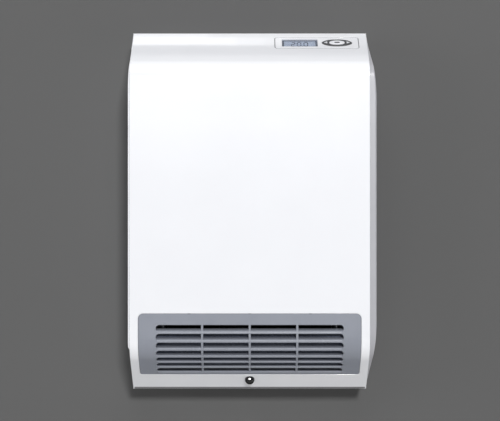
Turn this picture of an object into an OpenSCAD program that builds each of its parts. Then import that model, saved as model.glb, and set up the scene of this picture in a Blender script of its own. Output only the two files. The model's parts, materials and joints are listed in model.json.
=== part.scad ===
// Bathroom wall fan heater: slanted glossy casing, outlet grille, display panel and cross-flow blower.
// X is to the right, Z is up, the wall is the plane Y = 0 and the front faces -Y.

/* [Casing] */
// Width of the front cover
cover_w = 306; // [290:1:330]
// Height of the casing
casing_h = 466.5; // [450:0.5:500]
// Depth from the wall to the front face
casing_d = 127; // [124:1:140]
// Depth taken by the slanted top and bottom faces
slant_d = 61; // [56:1:66]
// Height of the slanted top face
top_drop = 49; // [44:0.5:54]
// Height of the slanted bottom face
bottom_drop = 54.5; // [50:0.5:58]
// Radius between the front and the top slant
top_round = 25; // [18:1:32]
// Radius between the front and the bottom slant
bottom_round = 42; // [32:1:46]
// Wall thickness of the cover and the rear housing
wall = 2.5; // [2:0.1:3]
// Clearance between pieces that fit into each other
fit_gap = 0.3; // [0.2:0.05:0.4]
// Depth of the space behind the rear wall that hides the wall bracket
back_recess = 6; // [5:0.5:8]

/* [Side cheeks] */
// How far the air intake cheek stands out on the right
intake_proud = 8.3; // [7.5:0.1:10]
// How far the plain cheek stands out on the left
plain_proud = 2.6; // [2:0.1:4]
// Length of each rounded end of the intake cheek
cheek_ramp = 85; // [70:1:95]
// Inset of the cheeks from the outline of the cover
cheek_inset = 3; // [2:0.5:5]
// Width of the filter window, front to back
window_d = 84; // [70:1:90]
// Height of the filter window
window_h = 250; // [200:1:270]
// Width of the bars across the filter
louvre_w = 2.4; // [2:0.1:3]
// Distance from one filter bar to the next
louvre_pitch = 12.5; // [10:0.5:16]
// Thickness of the filter cassette
cassette_t = 6; // [5:0.1:7]

/* [Outlet grille] */
// Distance from the grille frame to each side of the cover
grille_margin = 11; // [9.5:0.5:16]
// Height of the upper edge of the grille above the casing's lowest edge
grille_top = 103.1; // [98:0.1:106]
// Height of the lower edge of the grille above the casing's lowest edge
grille_bottom = 21.1; // [19:0.1:22]
// Corner radius of the grille frame
grille_corner = 6.5; // [4:0.5:9]
// Distance from the ends of the slots to the sides of the grille frame
slot_margin = 22.7; // [18:0.1:30]
// Height of an outlet slot
slot_h = 9.1; // [8:0.1:9.5]
// Distance from one slot to the next, along the curved face
slot_pitch = 11.28; // [11:0.02:11.6]
// Distance from the upper edge of the frame to the first slot
slot_start = 14.6; // [12:0.1:16]
// Number of rows of slots
slot_rows = 7; // [5:1:7]
// Width of the upright ribs
rib_w = 2.7; // [2:0.1:4]
// Distance between the upright ribs
rib_pitch = 60.5; // [55:0.5:64]
// Depth of the blades behind the face
blade_d = 11; // [8:0.5:13]
// Thickness of a blade
blade_t = 1.4; // [1:0.1:2]
// Slope of the blades, rising inwards
blade_angle = 20; // [15:1:30]

/* [Control panel] */
// Width of the panel insert
panel_w = 109.6; // [106:0.2:112]
// Length of the panel insert along the slant
panel_l = 27.2; // [26:0.2:33]
// Corner radius of the panel insert
panel_corner = 3.3; // [2:0.1:5]
// Distance from the upper crease to the panel's edge, along the slant
panel_gap = 9.2; // [7:0.1:10]
// Thickness of the lips behind the edges of the panel and the grille
lip_t = 1.2; // [1:0.1:1.6]
// Length of the display window
lcd_w = 46.4; // [42:0.2:48]
// Width of the display window along the slant
lcd_l = 17.5; // [15:0.1:19]
// Distance of the display's centre from the panel's centre, to the left
lcd_shift = 22.1; // [22:0.1:24]
// Length of the oval rocker ring
ring_w = 39; // [36:0.2:41]
// Width of the oval rocker ring
ring_l = 16.8; // [15:0.1:19]
// Distance of the ring's centre from the panel's centre, to the right
ring_shift = 26.3; // [25:0.1:28]
// Length of the oval confirm button
button_w = 20.2; // [18:0.1:22]
// Width of the oval confirm button
button_l = 9; // [8:0.1:11.6]
// Height of the ring above the panel
ring_rise = 0.7; // [0.5:0.1:2]
// Height of the button above the panel
button_rise = 1.6; // [1.4:0.1:2.4]
// Travel of the button
button_travel = 0.8; // [0.5:0.1:1]

/* [Lock screw] */
// Diameter of the domed head
lock_head_d = 12.6; // [11:0.2:14]
// Diameter of the shank
lock_shank_d = 6; // [5:0.1:7]
// Distance from the lower crease to the screw's middle, along the slant
lock_gap = 22.4; // [16:0.1:24]
// Length of the shank
lock_l = 12; // [10:0.5:14]

/* [Blower] */
// Outer diameter of the cross-flow impeller
impeller_d = 54; // [50:1:56]
// Gap between the impeller and each side plate of the blower
impeller_side_gap = 12.4; // [9:0.1:14]
// Number of blades on the impeller
blade_count = 24; // [18:1:26]
// Diameter of the shaft
shaft_d = 6; // [5:0.5:8]
// Radial clearance of the shaft in its bushes
shaft_clear = 0.05; // [0.02:0.01:0.09]
// Gap between the scroll and the rear wall
scroll_back_gap = 1.5; // [1:0.1:3]
// Height of the shaft above the casing's lowest edge
shaft_height = 140.5; // [138:0.5:144]
// Gap between the impeller and the scroll where they are closest
scroll_gap = 4; // [3:0.5:5]
// How much wider the scroll is where it ends
scroll_grow = 5; // [3:0.5:6]
// Thickness of the scroll, tongue and side plates
duct_t = 1.6; // [1.2:0.1:2]

/* [Heating element] */
// Height of the heater frame across the air flow
heater_h = 52; // [46:1:53]
// Depth of the heater frame along the air flow
heater_d = 20; // [16:1:22]
// Diameter of the heating coils
coil_d = 8; // [6:0.5:9]
// Number of rows of coils
coil_rows = 4; // [3:1:4]

/* [Motor] */
// Side of the motor's laminated core
motor_side = 46; // [40:1:48]
// Thickness of the motor's core
motor_t = 14; // [10:1:16]
// Diameter of the rotor
rotor_d = 20; // [16:1:22]
// Air gap around the rotor
rotor_gap = 0.5; // [0.4:0.05:0.8]
// Clearance between the motor's end of the shaft and the side wall
motor_clear = 3; // [2:0.5:5]

/* [Wall mounting] */
// Width of the wall bracket
bracket_w = 220; // [215:1:240]
// Height of the wall bracket
bracket_h = 140; // [135:1:170]
// Sheet thickness of the wall bracket
bracket_t = 1.5; // [1.2:0.1:2]
// Distance between the wall screws, side to side
hole_dx = 190; // [170:1:195]
// Distance between the wall screws, up and down
hole_dz = 110; // [100:1:116]
// Diameter of the wall screw holes
hole_d = 5.5; // [4.5:0.1:6.5]
// Diameter of the cable inlet
inlet_d = 20; // [16:0.5:22]

/* [Electronics] */
// Width of the power board
board_w = 150; // [145:1:156]
// Height of the power board
board_h = 96; // [94:1:104]
// Thickness of the circuit boards
board_t = 1.6; // [1.2:0.1:2]
// Height of the posts under the power board
post_h = 9; // [7:0.5:11]
// Diameter of a wire
wire_d = 2.6; // [2:0.1:3]

/* [Hidden] */

half_h = casing_h / 2;
front_y = -casing_d;
crease_y = slant_d - casing_d;
back_y = -back_recess;
inner_back_y = back_y - wall;
side_x = cover_w / 2;
top_angle = atan(top_drop / slant_d);
bottom_angle = atan(bottom_drop / slant_d);
top_turn = 90 - top_angle;
bottom_turn = 90 - bottom_angle;
top_tangent = top_round * tan(top_turn / 2);
bottom_tangent = bottom_round * tan(bottom_turn / 2);
top_centre = [front_y + top_round, half_h - top_drop - top_tangent];
bottom_centre = [front_y + bottom_round, bottom_drop + bottom_tangent - half_h];
arc_steps = 14;
round_fn = 48;
oval_steps = 48;
cut = 1;

// Points on a circle of radius r around c, from angle a0 to a1
function arc(c, r, a0, a1, n = arc_steps) =
    [for (i = [0 : n]) let (a = a0 + (a1 - a0) * i / n) c + r * [cos(a), sin(a)]];

// Half of the casing's height at a depth, measured t inside the outer face
function top_z(y, t = 0) = half_h - (crease_y - y) * tan(top_angle) - t / cos(top_angle);
function bottom_z(y, t = 0) = (crease_y - y) * tan(bottom_angle) + t / cos(bottom_angle) - half_h;

// Side outline of the cover, t inside its outer face and from the front back to the crease
function cover_outline(t) = concat(
    [[crease_y, top_z(crease_y, t)]],
    arc(top_centre, top_round - t, 90 + top_angle, 180),
    arc(bottom_centre, bottom_round - t, 180, 270 - bottom_angle),
    [[crease_y, bottom_z(crease_y, t)]]
);

// The same, carried on straight behind the crease to the depth y_end
function casing_outline(t, y_end) = concat(
    [[y_end, top_z(crease_y, t)]],
    cover_outline(t),
    [[y_end, bottom_z(crease_y, t)]]
);

// The grille follows the outer face: s runs down it from the grille's upper edge
grille_w = cover_w - 2 * grille_margin;
slot_l = grille_w - 2 * slot_margin;
grille_top_z = grille_top - half_h;
grille_bottom_z = grille_bottom - half_h;
flat_l = grille_top_z - bottom_centre.y;
arc_l = bottom_round * bottom_turn * PI / 180;
arc_end = bottom_centre - bottom_round * [sin(bottom_angle), cos(bottom_angle)];
grille_l = flat_l + arc_l + (arc_end.y - grille_bottom_z) / sin(bottom_angle);

// Slope of the face at s, from 0 on the upright front to the slope of the bottom slant
function face_turn(s) = min(max(s - flat_l, 0), arc_l) / bottom_round * 180 / PI;

// Point on the face at s, set t inside
function face_point(s, t = 0) =
    s < flat_l
    ? [front_y + t, grille_top_z - s]
    : s < flat_l + arc_l
    ? bottom_centre - (bottom_round - t) * [cos(face_turn(s)), sin(face_turn(s))]
    : arc_end + (s - flat_l - arc_l) * [cos(bottom_angle), -sin(bottom_angle)]
        + t * [sin(bottom_angle), cos(bottom_angle)];

// Band along the face from s0 to s1, between the depths t0 and t1
function face_band(s0, s1, t0, t1, n = 24) = concat(
    [for (i = [0 : n]) face_point(s0 + (s1 - s0) * i / n, t0)],
    [for (i = [n : -1 : 0]) face_point(s0 + (s1 - s0) * i / n, t1)]
);

// Points of an oval
function oval(w, l) =
    [for (i = [0 : oval_steps - 1]) let (a = 360 * i / oval_steps) [w / 2 * cos(a), l / 2 * sin(a)]];

// Extrudes a (Y, Z) outline along X, centred on x
module across(w, x = 0) {
    translate([x - w / 2, 0, 0])
        rotate([90, 0, 90])
            linear_extrude(w)
                children();
}

// Extrudes an (X, Z) outline along Y, from y0 to y1
module fore_aft(y0, y1) {
    translate([0, y1, 0])
        rotate([90, 0, 0])
            linear_extrude(y1 - y0)
                children();
}

// Box between two corners
module block(low, high) {
    translate(low)
        cube(high - low);
}

module rounded_rect(w, h, r) {
    square([w - 2 * r, h], center = true);
    square([w, h - 2 * r], center = true);
    for (x = [-1, 1], y = [-1, 1])
        translate([x * (w / 2 - r), y * (h / 2 - r)])
            circle(r, $fn = round_fn);
}

// Cylinder along Y, from y0 to y1
module pin_y(r, y0, y1, x, z) {
    translate([x, y1, z])
        rotate([90, 0, 0])
            cylinder(h = y1 - y0, r = r, $fn = round_fn);
}

// Cylinder along X, from x0 to x1
module pin_x(r, x0, x1, y, z) {
    translate([x0, y, z])
        rotate([0, 90, 0])
            cylinder(h = x1 - x0, r = r, $fn = round_fn);
}

// The panel ends on the right where the grille does
panel_x = (grille_w - panel_w) / 2;
panel_y = crease_y - (panel_gap + panel_l / 2) * cos(top_angle);
panel_z = top_z(panel_y);
lock_y = crease_y - lock_gap * cos(bottom_angle);
lock_z = bottom_z(lock_y);
flange = 2.2;
lip_l = 3;
rim_l = 5;
window_y = -70;
window_z = 5;
window_ledge = 3;
window_corner = 6;
screw_d = 4;
boss_d = 8;
boss_inset = 12;
boss_top = 67.5;
boss_low = 9.5;
boss_x = side_x - boss_inset;
boss_top_z = half_h - boss_top;
boss_low_z = boss_low - half_h;
screw_l = 18;
screw_head_d = 7.6;
screw_head_t = 2.2;

// Frame on the top slant, centred on the panel, with its Z along the outward normal
module on_top_slant() {
    translate([panel_x, panel_y, panel_z])
        rotate([top_angle, 0, 0])
            children();
}

// Frame on the bottom slant, at the lock screw, with its Z along the outward normal
module on_bottom_slant() {
    translate([0, lock_y, lock_z])
        rotate([180 - bottom_angle, 0, 0])
            children();
}

// The grille's outline seen from the front, grown by g
module grille_outline(g) {
    translate([0, (grille_top_z + grille_bottom_z) / 2])
        rounded_rect(grille_w + 2 * g, grille_top_z - grille_bottom_z + 2 * g, grille_corner + g);
}

// The filter window as an X-wards prism between x0 and x1, grown by g
module window_prism(x0, x1, g) {
    translate([x0, window_y, window_z])
        rotate([90, 0, 90])
            linear_extrude(x1 - x0)
                rounded_rect(window_d + 2 * g, window_h + 2 * g, max(window_corner + g, 1));
}

module front_cover() {
    color([0.95, 0.95, 0.97])
        difference() {
            across(cover_w)
                polygon(cover_outline(0));
            across(cover_w - 2 * wall)
                polygon(casing_outline(wall, crease_y + cut));
            on_top_slant()
                translate([0, 0, -2 * wall])
                    linear_extrude(4 * wall)
                        rounded_rect(panel_w, panel_l, panel_corner);
            fore_aft(front_y - cut, crease_y - lip_l - cut)
                grille_outline(0);
            on_bottom_slant()
                translate([0, 0, -2 * wall])
                    cylinder(h = 4 * wall, d = lock_shank_d + 2 * fit_gap, $fn = round_fn);
            window_prism(side_x - wall - cut, side_x + cut, -window_ledge);
        }
    color([0.95, 0.95, 0.97])
        for (x = [-1, 1]) {
            cover_boss(x * boss_x, boss_top_z);
            cover_boss(x * boss_x, boss_low_z);
        }
}

// Screw boss that runs from the inside of the cover back to the rear wall
module cover_boss(x, z) {
    difference() {
        intersection() {
            pin_y(boss_d / 2, front_y, inner_back_y - fit_gap, x, z);
            across(cover_w)
                polygon(casing_outline(wall / 2, 0));
        }
        pin_y(screw_d / 2 + shaft_clear, inner_back_y - screw_l, cut, x, z);
    }
}

// Outline of the rear housing, t inside its outer face
module rear_outline(t) {
    square([cover_w - 2 * t, casing_h - 2 * t], center = true);
}

module rear_housing() {
    front_end = crease_y + fit_gap;
    rim_in = wall + fit_gap;
    color([0.93, 0.93, 0.94])
        difference() {
            union() {
                fore_aft(front_end, 0)
                    rear_outline(0);
                intersection() {
                    fore_aft(crease_y - lip_l, front_end + cut)
                        rear_outline(rim_in);
                    across(cover_w)
                        polygon(casing_outline(rim_in, 0));
                }
            }
            fore_aft(front_end + rim_l, inner_back_y)
                rear_outline(wall);
            fore_aft(crease_y - lip_l - cut, front_end + rim_l + cut)
                rear_outline(2 * wall);
            fore_aft(back_y, cut)
                rear_outline(wall);
            window_prism(side_x - 3 * wall, side_x + cut, -window_ledge);
            pin_y(inlet_d / 2, inner_back_y - cut, back_y + cut, inlet_x, inlet_z);
            for (x = [-1, 1], z = [boss_top_z, boss_low_z])
                pin_y(screw_d / 2 + fit_gap, inner_back_y - cut, back_y + cut, x * boss_x, z);
            for (x = [-1, 1])
                hook_slot(x * hook_x);
        }
    color([0.93, 0.93, 0.94])
        for (x = [0 : 1], z = [0 : 1])
            pin_y(post_d / 2, board_y, inner_back_y,
                board_x + (x - 0.5) * post_dx, board_z + (z - 0.5) * post_dz);
}

inlet_side = 41;
inlet_x = side_x - inlet_side;
inlet_z = -165;
hook_x = 70;
hook_w = 24;
hook_up = 10;
hook_clear = 2;
hook_drop = 22;
hook_z = bracket_h / 2 - hook_drop;
hook_reach = back_recess + wall + hook_clear;
post_d = 7;
post_inset = 6;
post_dx = board_w - 2 * post_inset;
post_dz = board_h - 2 * post_inset;
board_side = 27.5;
board_x = wall + board_side + board_w / 2 - side_x;
board_z = 118;
board_y = inner_back_y - post_h;

// Slot in the rear wall for a hook of the wall bracket
module hook_slot(x) {
    block([x - hook_w / 2 - cut, inner_back_y - cut, hook_z - hook_clear],
        [x + hook_w / 2 + cut, back_y + cut, hook_z + hook_up + hook_clear]);
}

bracket_corner = 6;

module wall_bracket() {
    color([0.72, 0.74, 0.76])
        difference() {
            union() {
                fore_aft(-bracket_t, 0)
                    rounded_rect(bracket_w, bracket_h, bracket_corner);
                for (x = [-1, 1])
                    bracket_hook(x * hook_x);
            }
            for (x = [-1, 1], z = [-1, 1])
                pin_y(hole_d / 2, -bracket_t - cut, cut, x * hole_dx / 2, z * hole_dz / 2);
            for (x = [-1, 1])
                block([x * hook_x - hook_w / 2 - cut, -bracket_t - cut, hook_z + bracket_t],
                    [x * hook_x + hook_w / 2 + cut, cut, hook_z + hook_up + bracket_t]);
        }
}

// A tongue bent out of the sheet, with its end turned up behind the rear wall
module bracket_hook(x) {
    block([x - hook_w / 2, -hook_reach, hook_z], [x + hook_w / 2, 0, hook_z + bracket_t]);
    block([x - hook_w / 2, -hook_reach, hook_z], [x + hook_w / 2, bracket_t - hook_reach, hook_z + hook_up]);
}

clip_w = 26;
clip_h = 10;
clip_bore = 3.2;
clip_z = 4 - bracket_h / 2;

// Sprung clip at the lower edge of the bracket, which the rear wall snaps onto
module bracket_clip() {
    color([0.55, 0.56, 0.58])
        difference() {
            block([-clip_w / 2, back_y + fit_gap, clip_z], [clip_w / 2, -bracket_t, clip_z + clip_h]);
            pin_x(clip_bore / 2, -clip_w / 2 - cut, clip_w / 2 + cut,
                (back_y - bracket_t) / 2, clip_z + clip_h / 2);
        }
}

cheek_steps = 12;
cheek_end = half_h - 2 * cheek_inset;
cheek_least = 0.2;
left_low = 56;
left_low_ramp = 3;
left_high = 34;
left_high_step = 12;
left_high_ramp = 40;

// How far the intake cheek stands out at the height z, easing off towards its ends
function cheek_out(z) =
    let (u = max(0, min(1, (cheek_end - abs(z)) / cheek_ramp)))
        max(cheek_least, intake_proud * pow(sin(90 * u), 1.5));

module left_cheek() {
    low = left_low - half_h;
    high = half_h - left_high;
    face = -side_x - fit_gap;
    color([0.94, 0.94, 0.96])
        intersection() {
            across(cover_w + 4 * intake_proud)
                polygon(casing_outline(cheek_inset, 0));
            fore_aft(front_y, 0)
                polygon([
                    [face, low], [face - plain_proud, low + left_low_ramp],
                    [face - plain_proud, high - left_high_ramp],
                    [face - plain_proud * 0.6, high - left_high_step], [face, high]
                ]);
        }
}

module intake_outline() {
    face = side_x + fit_gap;
    inset = [for (i = [0 : cheek_steps]) cheek_end - cheek_ramp * i / cheek_steps];
    polygon(concat(
        [[face, cheek_end]],
        [for (z = inset) [face + cheek_out(z), z]],
        [for (i = [cheek_steps : -1 : 0]) [face + cheek_out(inset[i]), -inset[i]]],
        [[face, -cheek_end]]
    ));
}

module intake_frame() {
    inner = side_x + fit_gap;
    color([0.8, 0.8, 0.82])
        difference() {
            intersection() {
                across(cover_w + 4 * intake_proud)
                    polygon(casing_outline(cheek_inset, 0));
                fore_aft(front_y, 0)
                    intake_outline();
            }
            window_prism(inner - cut, inner + 2 * intake_proud, -window_ledge);
            window_prism(cassette_x, inner + 2 * intake_proud, 0);
        }
}

seat_floor = 1.4;
cassette_x = side_x + fit_gap + seat_floor;
cassette_rim = 7;
mesh_t = 1;
mesh_set_in = 0.2;
bar_set_in = 0.6;

module filter_cassette() {
    bars = floor((window_h - 2 * cassette_rim) / louvre_pitch);
    inner = cassette_x + fit_gap;
    color([0.78, 0.78, 0.8])
        difference() {
            window_prism(inner, inner + cassette_t, -fit_gap);
            window_prism(cassette_x, cassette_x + 2 * cassette_t, -cassette_rim);
        }
    color([0.78, 0.78, 0.8])
        for (i = [0 : bars - 1])
            block(
                [inner + 2 * mesh_t, window_y - window_d / 2 + cassette_rim - cut,
                    window_z + (i - (bars - 1) / 2) * louvre_pitch - louvre_w / 2],
                [inner + cassette_t - bar_set_in, window_y + window_d / 2 - cassette_rim + cut,
                    window_z + (i - (bars - 1) / 2) * louvre_pitch + louvre_w / 2]
            );
}

module filter_mesh() {
    inner = cassette_x + fit_gap + mesh_set_in;
    color([0.25, 0.26, 0.28])
        window_prism(inner, inner + mesh_t, -cassette_rim);
}

slot_corner = 3.4;
blade_set_in = 0.8;
rib_set_in = 0.3;
rib_over = 2;
rib_start = slot_start - rib_over;
rib_end = slot_start + (slot_rows - 1) * slot_pitch + slot_h + rib_over;
lip_in = wall + fit_gap;
lip_back = lip_in + lip_t;
clip_reach = 7;
clip_hold = 3;

// Frame on the face of the grille at s, with its -Y along the outward normal
module at_face(s, t = 0) {
    p = face_point(s, t);
    translate([0, p.x, p.y])
        rotate([face_turn(s), 0, 0])
            children();
}

// Piece of the curved face between the depths t0 and t1, cut to the grille's outline grown by g
module grille_layer(t0, t1, g) {
    intersection() {
        across(grille_w + 4 * flange)
            polygon(face_band(-2 * flange, grille_l + 2 * flange, t0, t1));
        fore_aft(front_y - cut, crease_y)
            grille_outline(g);
    }
}

module outlet_grille() {
    color([0.55, 0.58, 0.62]) {
        difference() {
            union() {
                grille_layer(0, lip_back, -fit_gap);
                grille_layer(lip_in, lip_back, flange);
            }
            for (k = [0 : slot_rows - 1])
                at_face(slot_start + k * slot_pitch + slot_h / 2)
                    fore_aft(-cut, lip_back + cut)
                        rounded_rect(slot_l, slot_h, slot_corner);
        }
        for (i = [-1 : 1])
            across(rib_w, i * rib_pitch)
                polygon(face_band(rib_start, rib_end, rib_set_in, blade_d));
        for (i = [-1, 1])
            across(rib_w, i * (slot_l / 2 + rib_w))
                polygon(face_band(rib_start, rib_end, wall, blade_d));
        for (k = [0 : slot_rows - 1])
            outlet_blade(slot_start + k * slot_pitch + slot_h);
    }
}

// Blade that rises inwards from the lower edge of a slot, at s
module outlet_blade(s) {
    p = face_point(s, blade_set_in);
    half_l = slot_l / 2 + rib_w;
    translate([0, p.x, p.y])
        rotate([blade_angle, 0, 0])
            block([-half_l, 0, -blade_t], [half_l, blade_d, 0]);
}

module grille_clips() {
    color([0.3, 0.31, 0.33])
        for (i = [-1 : 1]) {
            across(clip_reach, i * rib_pitch)
                polygon(face_band(-clip_reach, clip_hold, lip_back, lip_back + lip_t));
            across(clip_reach, i * rib_pitch)
                polygon(face_band(-clip_reach, -flange - fit_gap, wall, lip_back + lip_t));
        }
}

dome_rim = 1;
dome_join = 0.5;
cam_depth = 6;
cam_t = 1.6;
cam_reach = 9;
cam_ring = 2.5;

module lock_screw() {
    r = lock_head_d / 2;
    color([0.02, 0.02, 0.03])
        on_bottom_slant() {
            translate([0, 0, fit_gap])
                cylinder(h = dome_rim, r = r, $fn = round_fn);
            intersection() {
                translate([0, 0, fit_gap + dome_rim])
                    sphere(r, $fn = round_fn);
                translate([0, 0, fit_gap])
                    cylinder(h = 2 * r, r = r + cut, $fn = round_fn);
            }
            translate([0, 0, -lock_l])
                cylinder(h = lock_l + fit_gap + dome_join, d = lock_shank_d, $fn = round_fn);
        }
}

// Latch arm clipped onto the lock screw's shank
module lock_cam() {
    color([0.6, 0.6, 0.62])
        on_bottom_slant()
            translate([0, 0, -wall - cam_depth - cam_t])
                difference() {
                    union() {
                        cylinder(h = cam_t, r = lock_shank_d / 2 + cam_ring, $fn = round_fn);
                        translate([-lock_shank_d / 2, -cam_reach, 0])
                            cube([lock_shank_d, cam_reach, cam_t]);
                    }
                    translate([0, 0, -cut])
                        cylinder(h = cam_t + 2 * cut, d = lock_shank_d, $fn = round_fn);
                }
}

lcd_window_t = 1.6;
lcd_ledge = 1.5;
lcd_recess = 0.4;
lcd_corner = 1;
lcd_border = 1;
pivot_z = -1.6;
pivot_r = 0.8;
pivot_l = 1.8;
pivot_root = 1;
ring_bottom = -5.1;
button_bottom = -4.9;
stem_top = button_bottom - button_travel - fit_gap;
board_top = -9.6;
board_post = 4;
post_grip = 0.2;
control_side = 4;
control_edge = 2.5;
control_corner = 2;
control_w = panel_w - 2 * control_side;
control_l = panel_l - 2 * control_edge;
control_post_x = control_w / 2 - board_post;
control_post_y = control_l / 2 - 0.75 * board_post;
switch_side = 6;
switch_h = 2.6;
switch_stem_d = 3.2;
switch_inset = 5;

// Solid with an oval outline on the panel, between the heights z0 and z1
module oval_block(w, l, z0, z1) {
    translate([ring_shift, 0, z0])
        linear_extrude(z1 - z0)
            polygon(oval(w, l));
}

// Solid with a rounded rectangular outline on the panel, centred on x
module panel_block(x, w, l, r, z0, z1) {
    translate([x, 0, z0])
        linear_extrude(z1 - z0)
            rounded_rect(w, l, r);
}

// Pins on the ring's short axis, which it rocks on
module pivot_pins(r, l) {
    for (side = [-1, 1])
        translate([ring_shift, side * (ring_l / 2 - pivot_root), pivot_z])
            rotate([-90 * side, 0, 0])
                cylinder(h = l, r = r, $fn = round_fn);
}

module panel_insert() {
    seat = -lcd_recess - lcd_window_t;
    color([0.93, 0.93, 0.95])
        on_top_slant() {
            difference() {
                union() {
                    panel_block(0, panel_w - 2 * fit_gap, panel_l - 2 * fit_gap, panel_corner - fit_gap,
                        -lip_back, 0);
                    panel_block(0, panel_w + 2 * flange, panel_l + 2 * flange, panel_corner + flange,
                        -lip_back, -lip_in);
                }
                panel_block(-lcd_shift, lcd_w, lcd_l, lcd_corner, seat, cut);
                panel_block(-lcd_shift, lcd_w - 2 * lcd_ledge, lcd_l - 2 * lcd_ledge, lcd_corner,
                    -lip_back - cut, cut);
                oval_block(ring_w + 2 * fit_gap, ring_l + 2 * fit_gap, -lip_back - cut, cut);
                pivot_pins(pivot_r + shaft_clear, pivot_l + pivot_root + fit_gap);
            }
            for (x = [-1, 1], y = [-1, 1])
                translate([x * control_post_x, y * control_post_y, board_top])
                    cylinder(h = post_grip - lip_back - board_top, d = board_post, $fn = round_fn);
        }
}

module lcd_window() {
    color([0.75, 0.8, 0.86])
        on_top_slant()
            panel_block(-lcd_shift, lcd_w - 2 * fit_gap, lcd_l - 2 * fit_gap, lcd_corner - fit_gap,
                -lcd_recess - lcd_window_t, -lcd_recess);
}

module lcd_panel() {
    color([0.62, 0.68, 0.76])
        on_top_slant()
            panel_block(-lcd_shift, lcd_w - 2 * lcd_border, lcd_l + 2 * lcd_border, lcd_corner,
                board_top, -lip_back - fit_gap);
}

module rocker_ring() {
    color([0.25, 0.25, 0.27])
        on_top_slant() {
            difference() {
                oval_block(ring_w, ring_l, ring_bottom, ring_rise);
                oval_block(button_w + 2 * fit_gap, button_l + 2 * fit_gap,
                    ring_bottom - cut, ring_rise + cut);
            }
            pivot_pins(pivot_r, pivot_l + pivot_root);
        }
}

module confirm_button() {
    color([0.95, 0.95, 0.97])
        on_top_slant()
            oval_block(button_w, button_l, button_bottom, button_rise);
}

module control_board() {
    color([0.1, 0.35, 0.2])
        on_top_slant()
            panel_block(0, control_w, control_l, control_corner, board_top - board_t, board_top);
}

module tact_switches() {
    half = switch_side / 2;
    color([0.15, 0.15, 0.17])
        on_top_slant()
            for (i = [-1 : 1])
                translate([ring_shift + i * (ring_w / 2 - switch_inset), 0, board_top]) {
                    block([-half, -half, 0], [half, half, switch_h]);
                    cylinder(h = stem_top - board_top, d = switch_stem_d, $fn = round_fn);
                }
}

// Points and unit vector square to the line from p to q, to its left
function square_to(p, q) = [p.y - q.y, q.x - p.x] / norm(q - p);

// Along the shaft, from the blower's side plate out to the side wall
bush_l = 8;
collar_t = 1.5;
strap_clear = 0.5;
motor_strap_t = 1.5;
motor_strap_gap = 4;
shaft_stub = 5;
motor_offset = (bush_l - duct_t) / 2 + fit_gap + collar_t + strap_clear + motor_strap_t
    + motor_strap_gap + motor_t / 2;
motor_room = motor_offset + motor_t / 2 + motor_strap_gap + motor_strap_t + shaft_stub + motor_clear;
blower_w = cover_w - 2 * (wall + motor_room);
duct_in_w = blower_w - 2 * duct_t;
impeller_l = duct_in_w - 2 * impeller_side_gap;
motor_x = -blower_w / 2 - motor_offset;

impeller_r = impeller_d / 2;
scroll_in = impeller_r + scroll_gap;
scroll_out = scroll_in + scroll_grow + duct_t;
shaft_y = inner_back_y - scroll_back_gap - scroll_out;
shaft_z = shaft_height - half_h;
hub = [shaft_y, shaft_z];
scroll_a0 = 80;
scroll_a1 = -36;
tongue_a = 197;
tongue_nose = 2.2;
nose_steps = 24;
duct_grille_gap = 2.5;
duct_end_in = blade_d + duct_grille_gap;
duct_top_s = 8;
duct_low_s = 4;
scroll_steps = 26;

// Point on the scroll at the angle a around the shaft, set t outside its inner face
function scroll_point(a, t) =
    hub + (scroll_in + scroll_grow * (scroll_a0 - a) / (scroll_a0 - scroll_a1) + t) * [cos(a), sin(a)];

tongue_tip = hub + scroll_in * [cos(tongue_a), sin(tongue_a)];
tongue_end = face_point(duct_top_s, duct_end_in);
tongue_n = -square_to(tongue_tip, tongue_end);
scroll_tip = scroll_point(scroll_a1, 0);
scroll_end = face_point(grille_l - duct_low_s, duct_end_in);
scroll_n = square_to(scroll_tip, scroll_end);

module scroll() {
    angles = [for (i = [0 : scroll_steps]) scroll_a0 + (scroll_a1 - scroll_a0) * i / scroll_steps];
    color([0.16, 0.16, 0.17])
        across(duct_in_w)
            polygon(concat(
                [for (a = angles) scroll_point(a, 0)],
                [scroll_end, scroll_end + duct_t * scroll_n],
                [for (i = [scroll_steps : -1 : 0]) scroll_point(angles[i], duct_t)]
            ));
}

module tongue() {
    out = duct_t * tongue_n;
    run = tongue_end - tongue_tip;
    turn = atan2(run.y, run.x);
    neck = asin(duct_t / 2 / tongue_nose);
    color([0.16, 0.16, 0.17])
        across(duct_in_w)
            polygon(concat(
                arc(tongue_tip + out / 2, tongue_nose, turn + neck, turn + 360 - neck, nose_steps),
                [tongue_end + out, tongue_end]
            ));
}

bush_t = 3;
grommet_t = 3;
bush_r = shaft_d / 2 + bush_t;
grommet_r = bush_r + grommet_t;
grommet_l = 5;
side_fn = 96;

module blower_side(side) {
    color([0.72, 0.73, 0.75])
        across(duct_t, side * (blower_w - duct_t) / 2)
            difference() {
                union() {
                    translate(hub)
                        circle(scroll_out, $fn = side_fn);
                    polygon([
                        hub, tongue_tip + duct_t * tongue_n, tongue_end + duct_t * tongue_n,
                        scroll_end + duct_t * scroll_n, scroll_tip + duct_t * scroll_n
                    ]);
                }
                translate(hub)
                    circle(grommet_r + shaft_clear, $fn = round_fn);
                if (side < 0)
                    for (z = [-1, 1])
                        translate(hub + [0, z * motor_screw_z])
                            circle(motor_screw_d / 2 + shaft_clear, $fn = round_fn);
            }
}

module blower_side_left() {
    blower_side(-1);
}

module blower_side_right() {
    blower_side(1);
}

hub_t = 5;
hub_r = shaft_d / 2 + hub_t;
hub_l = 6;
disc_t = 1.6;
inner_discs = 2;
fan_blade_l = 8;
fan_blade_t = 0.9;
fan_blade_tilt = 28;
fan_blade_fit = 0.15;

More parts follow.
